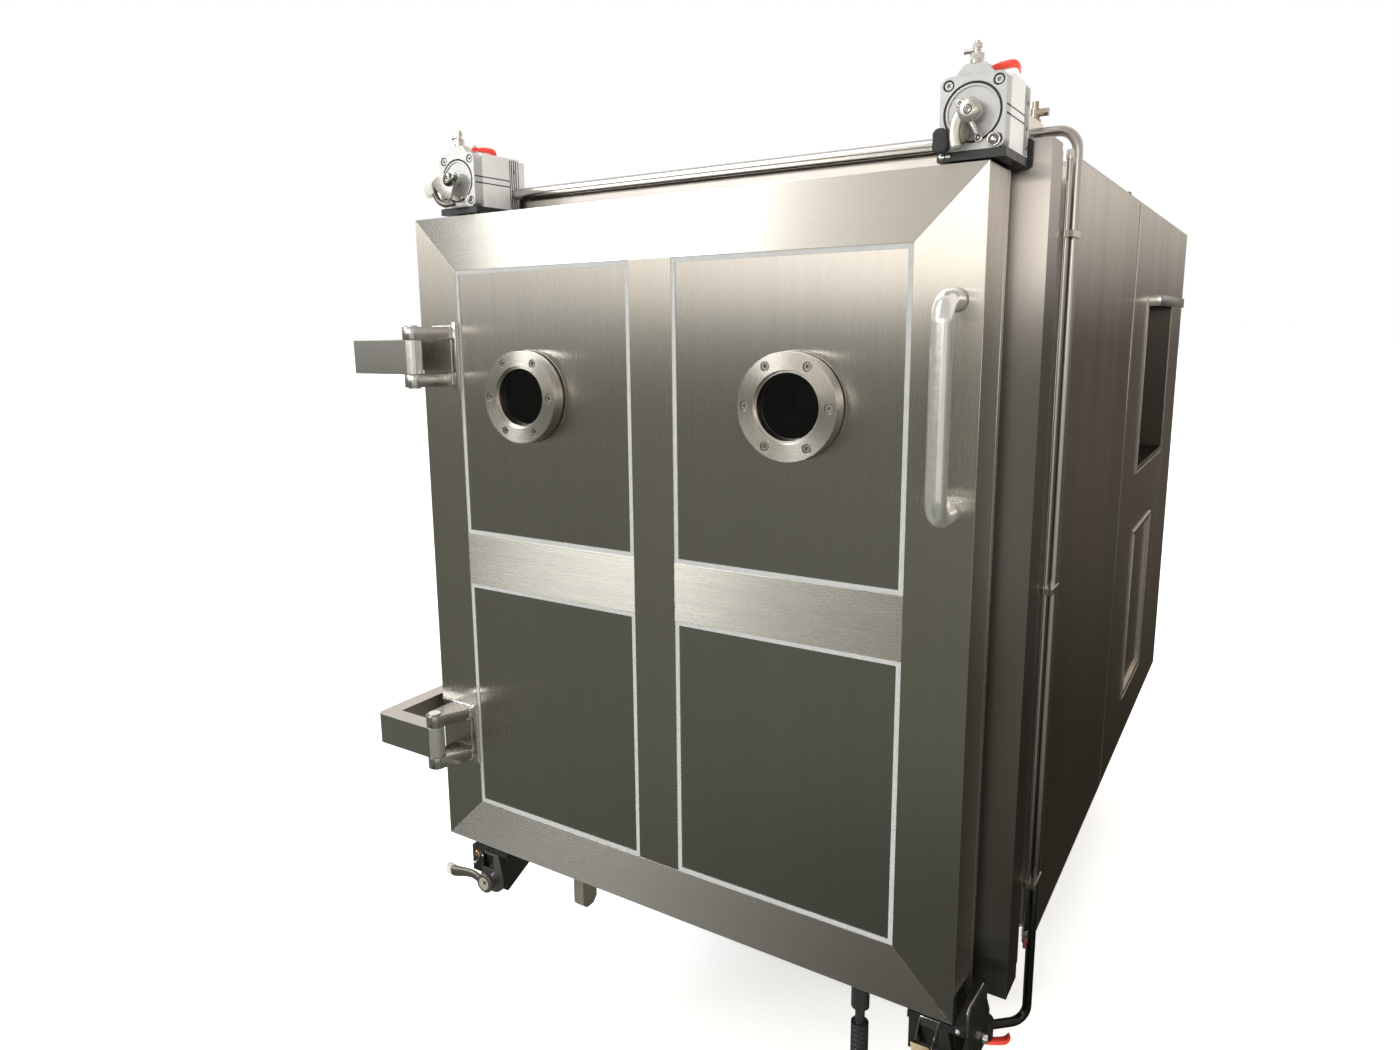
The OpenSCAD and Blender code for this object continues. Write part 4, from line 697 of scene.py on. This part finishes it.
def lower_arm(where, plug, pad, side):
    """Ringed hub with a round plug, an arched stem that widens to the pad, and the pad."""
    body = f"clamp_arm_{where}"
    x, z = AXES[where]
    back = HUB_BACK[where]
    bm = bmesh.new()
    lathe(bm, at(x, back, z), FRONT, [*BORE, (0, 20), (1, 21), (10, 21), (11.4, 20.4), (12, 19),
                                      (12, 15.2), (10.9, 14.6), (10.9, 0)], 48)
    finger(bm, (x, -22.6, z), [(side * 14, 0, 5, 9, 5), (side * 32, 0, 10, 9, 5), (side * 55, 0, 8, 9.6, 5.4),
                               (side * 76, 0, 3, 11, 6.4), (side * 92, 0, 0, 12, 7.2)])
    arm = add_mesh(f"arm_{where}", bm, stem_grey, body, rounding=0.6)
    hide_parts(f"clamp_arm_{where}")
    bm = bmesh.new()
    lathe(bm, at(x, back - 10.8, z), FRONT,
          [(0, 0), (0, 13.6), (1.8, 13.6), (2.7, 12.8), (3.0, 11.4), (3.0, 0)])
    add_mesh(f"arm_plug_{where}", bm, plug, body, rounding=0.5)
    bm = bmesh.new()
    # painted shade: a dark disc on the plug stands for its recess
    disc(bm, at(x + 4, back - 13.6, z + 4.5), FRONT, 4.6, 0.4, 24)
    add_mesh(f"arm_recess_painted_shade_{where}", bm, dark_seams_and_painted_shade, body)
    add_pad(where, (x + side * 100, z), -20.7, 0, side, pad)


# (x, z, radius) of the adjusters, from the clamp's axis
ADJUSTERS = {"upper_right": ((29.5, -38, 9.2), (9.5, -34, 5.6)),
             "upper_left": ((27, -33.5, 5.2), (9, -31.5, 5.0))}


def cap_adjusters():
    """Two adjusters low on the right of each upper clamp's cap, with painted shade on their sunken faces, and
    two bright bolts on the right tray.
    """
    for where, spots in ADJUSTERS.items():
        x, z = AXES[where]
        bm, dark = bmesh.new(), bmesh.new()
        for dx, dz, r in spots:
            lathe(bm, at(x + dx, 0.4, z + dz), FRONT,
                  [(0, 0), (0, r), (3.2, r), (3.9, r - 0.7), (3.9, r - 1.9), (2.4, r - 2.3),
                   (2.4, r * 0.42), (4.1, r * 0.36), (4.5, r * 0.2), (4.5, 0)], 32)
            # painted shade: a dark ring on each adjuster's sunken face
            hoop(dark, at(x + dx, -2.05, z + dz), FRONT, r * 0.44, r - 2.4, 0.25, 32)
        add_mesh(f"adjusters_{where}", bm, bright_nickel, MACHINE, rounding=0.3)
        add_mesh(f"adjuster_shade_rings_{where}", dark, dark_seams_and_painted_shade, MACHINE)
    x, z = AXES["upper_right"]
    bm = bmesh.new()
    lathe(bm, at(x - 39, 0.3, z - 53.5), FRONT, [(0, 0), (0, 4.6), (2.2, 4.6), (2.9, 3.8), (3.3, 0)], 6)
    lathe(bm, at(x - 31, 0.3, z - 53.5), FRONT, [(0, 0), (0, 3.6), (1.4, 3.6), (1.8, 3), (2.0, 0)], 24)
    add_mesh("tray_bolts", bm, bright_nickel, MACHINE, rounding=0.3)


def clamp_lines():
    """Dark lines of the upper clamps: slots, ribs and joints; black rings painted as shade round the cap
    screws in their recesses and in the groove of the dish.
    """
    half_w, half_h = 44, 48
    for where in UPPER:
        x, z = AXES[where]
        bm = bmesh.new()
        for side in (-1, 1):
            face = x + side * half_w
            slot = sorted((face - side * 2.9, face - side * 0.9))
            film = sorted((face - side * 0.5, face + side * 0.15))
            for low in (-6.2, 4.8):
                bar(bm, *slot, 22.2, 96.8, z + low + 0.1, z + low + 2.3)
                bar(bm, *film, 2.5, 22.4, z + low, z + low + 2.4)
            for y, wide in ((96.2, 2.2), (102, 1.8), (108, 1.8), (114, 1.8), (120, 1.8)):
                bar(bm, *film, y, y + wide, z - half_h + 3, z + half_h - 3)
        for y, wide in ((96.2, 2.0), (108, 1.6), (114, 1.6)):
            bar(bm, x - half_w + 2, x + half_w - 2, y, y + wide, z + half_h - 0.5, z + half_h + 0.15)
        # painted shade: black rings darken the recesses round the cap screws
        for dx in (-33, 33):
            for dz in (-37, 37):
                hoop(bm, at(x + dx, 5.9, z + dz), FRONT, 5.7, 7.3, 3.6, 28)
        # painted shade: a black ring darkens the dish's groove
        hoop(bm, at(x, 2.9, z), FRONT, 36.2, 38.8, 1.9, 72)
        add_mesh(f"clamp_lines_{where}", bm, black_lines_and_painted_shade, MACHINE)
        bm = bmesh.new()
        for dz in (26, -8, -34):
            stud(bm, at(x + half_w - 0.5, 111, z + dz), 3.6, 1.6, 2.8, 2.1, axis=(1, 0, 0))
        add_mesh(f"rear_cap_screws_{where}", bm, screw_steel, MACHINE, rounding=0.2)


def lower_right_trim():
    """Bright lips round the lower right clamp's opening, the cheek's bright edges, a bolt and a nozzle; a
    black plate in the opening is painted shade.
    """
    bm = bmesh.new()
    for outline in ([(498.8, -5), (500.8, -5), (493.6, -50), (491.6, -50)],
                    [(499, -6), (499.6, -4), (530.4, -3.2), (530.4, -5.2)],
                    [(528.6, -4), (530.6, -4), (519.4, -58), (517.4, -58)]):
        front_plate(bm, outline, -1.0, 0.4)
    cheek = [(4, 25.8), (14, 29.8), (97, 19.8), (97, 20.6), (14, 30.8), (3.6, 26.6)]
    side_plate(bm, cheek, 570.2, 572.4)
    side_plate(bm, [(3.2, -14), (4.3, -14), (4.3, 26), (3.2, 26)], 571, 574)
    stud(bm, at(559.5, 0.4, -7.5), 4.8, 3, 3.8, 3.8, 6)
    stud(bm, at(559.5, -3.2, -7.5), 2.7, 2.2, 2, 2.7, 20)
    lathe(bm, at(576.2, 84, -70), (1, 0.25, 0.1),
          [(0, 0), (0, 7.5), (6, 7.5), (9, 6), (10.5, 3.4), (10.8, 0)], 32)
    add_mesh("lower_right_trim", bm, bright_nickel, MACHINE, rounding=0.2)
    # painted shade: a black plate fills the opening between the lips
    bm = bmesh.new()
    front_plate(bm, [(500.4, -5.6), (528.6, -5), (528, -21), (500.6, -21)], -0.35, 0.4)
    add_mesh("lower_right_mouth_painted_shade", bm, black_lines_and_painted_shade, MACHINE)
    bm = bmesh.new()
    front_plate(bm, [(484.5, -58), (516, -57), (513, -84), (490, -92)], -0.6, 0.4)
    add_mesh("lower_right_face", bm, tan_plug, MACHINE, rounding=0.2)


def lower_left_trim():
    """Copper and bright fittings that show on the lower left clamp's valve."""
    bm = bmesh.new()
    stud(bm, at(-477, 6.2, -32), 8, 3, 6.6, 4.2, 6)
    add_mesh("lower_left_cap", bm, brass, MACHINE, rounding=0.4)
    bm = bmesh.new()
    stations = [(-467, 4.6, -26, 1.4, 1.2), (-473, 4.6, -42, 1.4, 1.2), (-481, 4.6, -54, 1.5, 1.2)]
    finger(bm, (0, 0, 0), stations, 12)
    stud(bm, at(-484, 6.2, -55), 4.2, 4.4, 3, 5.4)
    stud(bm, at(-456, 0.2, -28), 3.2, 1.6, 2.2, 2.2)
    add_mesh("lower_left_fittings", bm, bright_nickel, MACHINE, rounding=0.3)


# ---- valve levers --------------------------------------------------------------------------

# the seat's x, y, z; the turn at rest in degrees; 1 on top of its valve or -1 below; share of the length
LEVER_SEATS = {"upper_right": (530, 45, 1413.3, 0, 1, 0.8), "upper_left": (-425, 45, 1413.3, 90, 1, 1.0),
               "lower_right": (540, 231, -190.3, 38, -1, 1.0)}
# (distance from the seat's axis, lift) along the lever
LEVER_PROFILE = ((0, 0), (8, 0), (20, 0.8), (36, 2.0), (45, 1.2), (50.5, -2.6), (52.5, -7))


def valve_lever(where):
    """Flat lever with a round boss, a rounded blade and a tip that turns down; a nut holds it."""
    *seat, turn, up, reach = LEVER_SEATS[where]
    seat, place = Vector(seat), at(*seat)
    t = math.radians(turn)
    run = Vector((math.cos(t), math.sin(t), 0))
    side = Vector((-run.y, run.x, 0))
    high = Vector((0, 0, up))
    bm = bmesh.new()
    path = curve_through([(u * reach, lift) for u, lift in LEVER_PROFILE], 4)
    rings = []
    for i, (u, lift) in enumerate(path):
        share = i / (len(path) - 1)
        wide = 6.2 + 0.8 * math.sin(math.pi * share) if u > 6 else 6.4
        tall = 3.6 + 1.4 * min(1.0, u / 16)
        if i == len(path) - 1:
            wide, tall = wide * 0.75, tall * 0.75
        ring = []
        for a in circle(16):
            c, s = squared(a, 0.55)
            point = seat + run * u + side * c * wide + high * (0.7 + tall + lift + s * tall)
            ring.append(bm.verts.new(at(*point)))
        rings.append(ring)
    skin(bm, rings, capped=True)
    lathe(bm, place, high, [(0, 0), (0, 6.6), (0.4, 7), (7.4, 7), (8, 6.4), (8, 0)])
    piece = add_mesh(f"lever_{where}", bm, red_paint, f"lever_{where}", rounding=0.5)
    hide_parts(f"valve_lever_{where}")
    bm = bmesh.new()
    disc(bm, place - high * 4.9 * MM, high, 2.9, 4.8, 24)
    lathe(bm, place + high * 7.9 * MM, high,
          [(0, 0), (0, 4.4), (2.6, 4.4), (3.2, 3.8), (3.2, 2), (4.4, 2), (4.4, 0)], 6)
    add_mesh(f"lever_nut_{where}", bm, nickel, f"lever_{where}", rounding=0.2)


# ---- welds and door details ----------------------------------------------------------------


def door_welds():
    """Weld beads at the handle's feet and round the sight glasses."""
    handle_lo, handle_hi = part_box("door_handle")
    tube_r = 15
    x = ((handle_lo.x + handle_hi.x) / 2 - DOOR_X) / MM
    bm = bmesh.new()
    for z in ((handle_lo.z - DOOR_Z) / MM + tube_r, (handle_hi.z - DOOR_Z) / MM - tube_r):
        weld_path(bm, ring_points(x, -0.4, z, tube_r + 0.8), 1.5, closed=True, seed=3)
    add_mesh("handle_welds", bm, weld_metal, DOOR)
    bm = bmesh.new()
    for side in (-1, 1):
        bead = ring_points(side * SIGHT_REACH / MM, -0.2, (SIGHT_Z - DOOR_Z) / MM, RING_R / MM + 0.4, 64)
        weld_path(bm, bead, 1.6, closed=True, seed=5 + side)
    add_mesh("sight_welds", bm, weld_metal, DOOR)


def hinge_leaf_pieces():
    """Polished hinge leaves: two lugs with round noses and a strip, welded to the door and each other."""
    lo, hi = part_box("hinge_leaves")
    bm, beads, pits = bmesh.new(), bmesh.new(), bmesh.new()
    pin_x, pin_y, nose_r = -501.5, -70, 18
    arm_half, lug_t, gap, leaf_half = 32, 24, 1, 65
    root_x, strip_x = -462, -450
    nose = [math.radians(a) for a in range(180, 361, 12)]
    outline = [(pin_x + nose_r * math.cos(a), pin_y + nose_r * math.sin(a)) for a in nose]
    outline += [(root_x, -20), (root_x + 1, 0), (pin_x - nose_r, 0)]
    strip = [(root_x, -8), (strip_x, -8), (strip_x, 0), (root_x, 0)]
    inner, outer = arm_half + gap, arm_half + gap + lug_t
    for z in ((lo.z - DOOR_Z) / MM + leaf_half, (hi.z - DOOR_Z) / MM - leaf_half):
        for low in (-outer, inner):
            extrude(bm, [at(x, y, z + low) for x, y in outline], Vector((0, 0, lug_t * MM)))
        extrude(bm, [at(x, y, z - leaf_half) for x, y in strip], Vector((0, 0, 2 * leaf_half * MM)))
        for edge in (-outer - 0.4, outer + 0.4):
            weld_path(beads, [at(-519, -0.4, z + edge), at(-463, -0.4, z + edge)], 1.7, seed=11)
        for low in (-outer, inner):
            weld_path(beads, [at(-461.6, -9, z + low + 1), at(-461.2, -9, z + low + lug_t - 1)], 2.6, seed=13)
            weld_path(beads, [at(-462.5, -19, z + low + 2), at(-462.5, -10, z + low + 2)], 2.2, seed=17)
        weld_path(beads, [at(-449.8, -0.8, z - 64), at(-449.8, -0.8, z + 64)], 1.8, seed=15)
        weld_path(beads, [at(-462.2, -8, z - arm_half), at(-462.2, -8, z + arm_half)], 1.5, seed=19)
        for dz in (-inner, arm_half):
            hoop(pits, at(pin_x, pin_y, z + dz + 0.1), UP, 13.5, 16.9, 0.8, 40)
        disc(pits, at(-470, -29.6, z + inner + lug_t / 2), (0.75, -0.66, 0), 4.2, 0.6, 20)
    leaf = add_mesh("hinge_leaf_lugs", bm, lug_steel, DOOR, rounding=0.6)
    # painted shade: faces that look up take the dark copy of the lug steel
    tint_faces(leaf, lug_top_painted_shade, lambda normal: normal.z > 0.7)
    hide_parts("hinge_leaves")
    add_mesh("hinge_leaf_welds", beads, lug_steel, DOOR)
    add_mesh("hinge_leaf_pits", pits, dark_seams_and_painted_shade, DOOR)


def tint_faces(piece, material, test):
    """Gives the faces whose normal passes the test another material."""
    piece.data.materials.append(material)
    for face in piece.data.polygons:
        if test(face.normal):
            face.material_index = len(piece.data.materials) - 1


def door_edge_painted_highlights():
    """Thin bright strips along the door's right side and the front frame's edge: painted highlights on their
    edges.
    """
    _, (x1, y1, _) = span("door_right_member")
    z1 = span("door_top_member")[1][2]
    bm = bmesh.new()
    bar(bm, x1 - 0.6, x1 + 0.35, y1 - 2.6, y1 - 0.2, 3, z1 - 3)
    bar(bm, x1 - 0.6, x1 + 0.35, 3, y1 - 3, z1 - 2.4, z1 - 0.3)
    bar(bm, x1 - 0.6, x1 + 0.3, 0.3, 1.5, 60, z1 - 3)
    add_mesh("door_edge_painted_highlights", bm, bright_nickel, DOOR, rounding=0.3)
    frame_x = 600
    bm = bmesh.new()
    bar(bm, frame_x - 0.5, frame_x + 0.3, 240, 243, 24, 1290)
    add_mesh("frame_edge_painted_highlight", bm, bright_nickel, MACHINE, rounding=0.3)


def side_details():
    """Bright lips on the recess and hatch trims, the ledge's skin, the seam's cover and a roof plug; the
    recess's inner faces are painted dark as shade.
    """
    bm = bmesh.new()
    inner_x, trim_x = 596.8, 597.0
    for node, top in (("service_recess", False), ("hatch_cover", True)):
        (_, y0, z0), (_, y1, z1) = span(node)
        bar(bm, inner_x, trim_x + 2.2, y0 + 0.5, y0 + 3.0, z0 + 0.5, z1 - 10.5)
        if top:
            bar(bm, inner_x, trim_x + 2.2, y0 + 0.5, y1 - 0.5, z1 - 3.0, z1 - 0.5)
        bar(bm, inner_x, trim_x + 1.4, y1 - 3.0, y1 - 0.5, z0 + 0.5, z1 - 10.5)
        bar(bm, inner_x, trim_x + 1.4, y0 + 0.5, y1 - 0.5, z0 + 0.5, z0 + 3.0)
    add_mesh("side_trims", bm, level, MACHINE, rounding=0.6)
    bm = bmesh.new()
    (_, y0, _), (_, y1, z1) = span("service_recess")
    ledge_x, drop = 627.0, 24
    bar(bm, 594.5, ledge_x, y0 - 0.6, y1 + 0.6, z1 - 0.6, z1 + 1.2)
    bar(bm, ledge_x - 2.8, ledge_x, y0 - 0.6, y1 + 0.6, z1 - drop, z1 + 1)
    bar(bm, 597.5, ledge_x, y0 - 0.6, y0 + 1.8, z1 - drop, z1 + 1)
    add_mesh("ledge_skin", bm, lug_steel, MACHINE, rounding=0.7)
    seam_z = (-42, 1335)
    bm = bmesh.new()
    bar(bm, 593.7, 595.0, 1061, 1075, *seam_z)
    add_mesh("side_seam_cover", bm, clad_steel, MACHINE, rounding=0.5)
    bm = bmesh.new()
    for y0, y1 in ((1058.6, 1061.2), (1074.8, 1077.4)):
        bar(bm, 593.9, 594.25, y0, y1, *seam_z)
    add_mesh("side_seam_lines", bm, dark_seams_and_painted_shade, MACHINE)
    bm = bmesh.new()
    lathe(bm, at(580, 958, 1339.8), UP, [(0, 0), (0, 11), (3, 11), (4, 9), (8, 9), (11, 6.5), (12, 0)], 36)
    add_mesh("roof_plug", bm, knob_dark, MACHINE, rounding=0.5)
    # painted shade: faces inside the recess take the dark copy of the cladding steel
    shift_paint("service_recess", (recess_painted_shade, lambda x, y, z: x < 592))


def conduit_details():
    """Thin stub and coloured gland at the conduit's lower fitting."""
    bm = bmesh.new()
    stud(bm, at(593, 262, 36), 2.2, 17, 1.6, 17.6, 20, axis=(-1, 0, 0))
    add_mesh("conduit_stub", bm, bright_nickel, MACHINE, rounding=0.2)
    bm = bmesh.new()
    lathe(bm, at(598, 262, 18.6), (0, 0, -1),
          [(0, 0), (0, 5), (12, 5), (13, 4), (13, 2.6), (24, 2.6), (24, 0)], 28)
    add_mesh("conduit_gland", bm, gland_red, MACHINE, rounding=0.4)


def shift_paint(node, *rules):
    """Gives some faces of a CAD node another material: rules are (material, test of the centre)."""
    mesh = NODES[node].data
    for material, test in rules:
        mesh.materials.append(material)
        number = len(mesh.materials) - 1
        for face in mesh.polygons:
            if test(*in_mm(face.center)):
                face.material_index = number


upper_right_arm()
upper_left_arm()
lower_arm("lower_left", pale_plug, pale_rubber, -1)
lower_arm("lower_right", tan_plug, black_rubber, 1)
cap_adjusters()
clamp_lines()
lower_right_trim()
lower_left_trim()
for seat in LEVER_SEATS:
    valve_lever(seat)
door_welds()
hinge_leaf_pieces()
door_edge_painted_highlights()
side_details()
conduit_details()
shift_paint("hinge_arms", (knuckle_steel, lambda x, y, z: x > -522 and y < -48))
for place in UPPER:
    shift_paint(f"clamp_body_{place}", (cap_alloy, lambda x, y, z: y < 21))
# painted shade: the lower left clamp's front takes a dark grey because it sits in shade under the chamber
shift_paint("clamp_body_lower_left", (cap_grey_painted_shade, lambda x, y, z: y < 1))
# the throttle behind the upper right clamp: black body and knob, copper-coloured base
shift_paint(
    "pipe_fittings",
    (brass, lambda x, y, z: 525 < x < 552 and 270 < y < 305 and 1386.5 < z < 1393),
    (aged_brass, lambda x, y, z: 525 < x < 565 and 270 < y < 305 and 1393 < z < 1432),
    (knob_dark, lambda x, y, z: 525 < x < 565 and 270 < y < 305 and z > 1432),
    # painted shade: the fittings low on the right are nearly black
    (alloy_painted_shade, lambda x, y, z: 510 < x < 565 and z < -40),
)


# ---- light, floor and camera ---------------------------------------------------------------


def flat_material(name, color, strength):
    """Nearly even colour that glows by itself with a given strength."""
    p = Paint(name, color, roughness=0.9)
    p.shade(p.noise(3.0, 2.0, 0.5), 0.01)
    p.set("Emission Strength", strength)
    p.set("Emission Color", (*color, 1.0))
    return p.done()


def make_floor():
    bm = bmesh.new()
    bmesh.ops.create_circle(bm, cap_ends=True, radius=60.0, segments=96)
    mesh = bpy.data.meshes.new("floor")
    bm.to_mesh(mesh)
    bm.free()
    mesh.materials.append(flat_material("pale_floor", (0.90, 0.90, 0.89), strength=0.5))
    floor = bpy.data.objects.new("floor", mesh)
    bpy.context.scene.collection.objects.link(floor)
    floor.visible_glossy = False


class Sky(Nodes):
    """World nodes: helpers that return the value of a direction's height and bearing in degrees."""

    def __init__(self):
        self.world = bpy.data.worlds.new("studio")
        self.world.use_nodes = True
        self.tree = self.world.node_tree
        self.tree.nodes.clear()
        coords = self.node("ShaderNodeTexCoord").outputs["Generated"]
        split = self.node("ShaderNodeSeparateXYZ", {"Vector": coords})
        x, y, z = (split.outputs[letter] for letter in "XYZ")
        self.rightward = x
        degrees = 180 / math.pi
        self.height = self.math("MULTIPLY", self.math("ARCSINE", z), degrees)
        bearing = self.math("ARCTAN2", x, self.math("MULTIPLY", y, -1.0))
        self.bearing = self.math("MULTIPLY", bearing, degrees)

    def step(self, value, start, end):
        """Smooth rise from 0 at start to 1 at end."""
        return self.remap(value, start, end, smooth=True)

    def fall(self, value, start, end):
        """Smooth fall from 1 at start to 0 at end."""
        return self.math("SUBTRACT", 1.0, self.step(value, start, end))

    def band(self, value, low, high, soft):
        rise = self.step(value, low - soft, low + soft)
        return self.math("MULTIPLY", rise, self.fall(value, high - soft, high + soft))

    def mix(self, factor, a, b, kind="MIX"):
        a, b = ((*value, 1.0) if isinstance(value, tuple) else value for value in (a, b))
        inputs = {"Factor": factor, "A": a, "B": b}
        return self.node("ShaderNodeMix", inputs, data_type="RGBA", blend_type=kind).outputs["Result"]


def make_world():
    """White to the camera. What is glossy sees a bright upper half, below it a hall that is dim
    on the right and in front, and a tall window to the left of the front."""
    sky = Sky()
    ahead = sky.fall(sky.math("ABSOLUTE", sky.bearing), 70, 130)
    beside = sky.mix(sky.step(sky.height, -24, -5), (0.022, 0.017, 0.012), (0.085, 0.072, 0.062))
    beside = sky.mix(sky.step(sky.rightward, -0.45, 0.15), (0.34, 0.33, 0.32), beside)
    low = sky.mix(ahead, beside, (0.155, 0.160, 0.134))
    deep = sky.math("MULTIPLY", sky.band(sky.bearing, -26, 8, 6), sky.fall(sky.height, -34, -22))
    low = sky.mix(deep, low, (0.03, 0.03, 0.026))
    high = sky.mix(ahead, (0.95, 0.89, 0.83), (0.52, 0.515, 0.50))
    rise = sky.mix(ahead, sky.step(sky.height, -1.5, 9.0), sky.step(sky.height, -4.0, 5.0))
    color = sky.mix(rise, low, high)
    # bands of height and bearing (low, high, softness) where light of a colour is added:
    # a row of lamps, the tall window, its bluish upper corner, a pale wall to the right
    for height, bearing, extra in (
        ((1.5, 9, 1.5), (-28, 34, 5), (2.2, 2.1, 1.95)),
        ((8, 48, 4), (-44.5, -30.5, 1.5), (9.0, 9.1, 9.0)),
        ((31, 66, 4), (-62, -42, 3), (5.5, 6.3, 7.0)),
        ((-16, 8, 5), (14, 75, 8), (0.36, 0.355, 0.345)),
    ):
        spot = sky.math("MULTIPLY", sky.band(sky.height, *height), sky.band(sky.bearing, *bearing))
        color = sky.mix(spot, color, extra, "ADD")
    seen = sky.node("ShaderNodeLightPath").outputs["Is Camera Ray"]
    glossy = sky.node("ShaderNodeBackground", {"Color": color}).outputs["Background"]
    white = sky.node("ShaderNodeBackground", {"Color": (1, 1, 1, 1)}).outputs["Background"]
    mixed = sky.node("ShaderNodeMixShader", {"Fac": seen, 1: glossy, 2: white})
    sky.node("ShaderNodeOutputWorld", {"Surface": mixed.outputs["Shader"]})
    bpy.context.scene.world = sky.world


def add_light(name, place, target, size, power, color=(1, 1, 1)):
    data = bpy.data.lights.new(name, "AREA")
    data.shape = "RECTANGLE"
    data.size, data.size_y = size
    data.energy = power
    data.color = color
    lamp = bpy.data.objects.new(name, data)
    bpy.context.scene.collection.objects.link(lamp)
    lamp.location = place
    lamp.rotation_euler = (Vector(target) - Vector(place)).to_track_quat("-Z", "Y").to_euler()
    lamp.visible_camera = False
    lamp.visible_glossy = False


def make_camera():
    """The photograph's view: right of the door, a little above eye level, turned left and down."""
    yaw, pitch, roll = math.radians(33.49), math.radians(10.17), math.radians(-0.82)
    forward = Vector((-math.sin(yaw) * math.cos(pitch), math.cos(yaw) * math.cos(pitch), -math.sin(pitch)))
    right = Vector((math.cos(yaw), math.sin(yaw), 0))
    up = right.cross(forward)
    rolled = math.cos(roll) * right + math.sin(roll) * up
    data = bpy.data.cameras.new("camera")
    data.sensor_width = 36.0
    data.lens = 24.46
    data.shift_x, data.shift_y = 0.0249, -0.0191
    camera = bpy.data.objects.new("camera", data)
    bpy.context.scene.collection.objects.link(camera)
    basis = Matrix((rolled, rolled.cross(forward), -forward)).transposed()
    camera.matrix_world = Matrix.Translation(at(913, -1341, 1081)) @ basis.to_4x4()
    bpy.context.scene.camera = camera


make_floor()
make_world()
bpy.context.scene.view_settings.view_transform = "Standard"
add_light("window", at(-2600, -3600, 2200), at(0, 0, 700), (1.6, 2.6), 60, (1.0, 0.97, 0.92))
add_light("ceiling", at(0, 900, 3600), at(0, 900, 0), (3.0, 4.0), 90)
add_light("right_side", at(3800, 600, 2300), at(500, 900, 700), (2.0, 2.0), 40, (1.0, 0.96, 0.9))
make_camera()
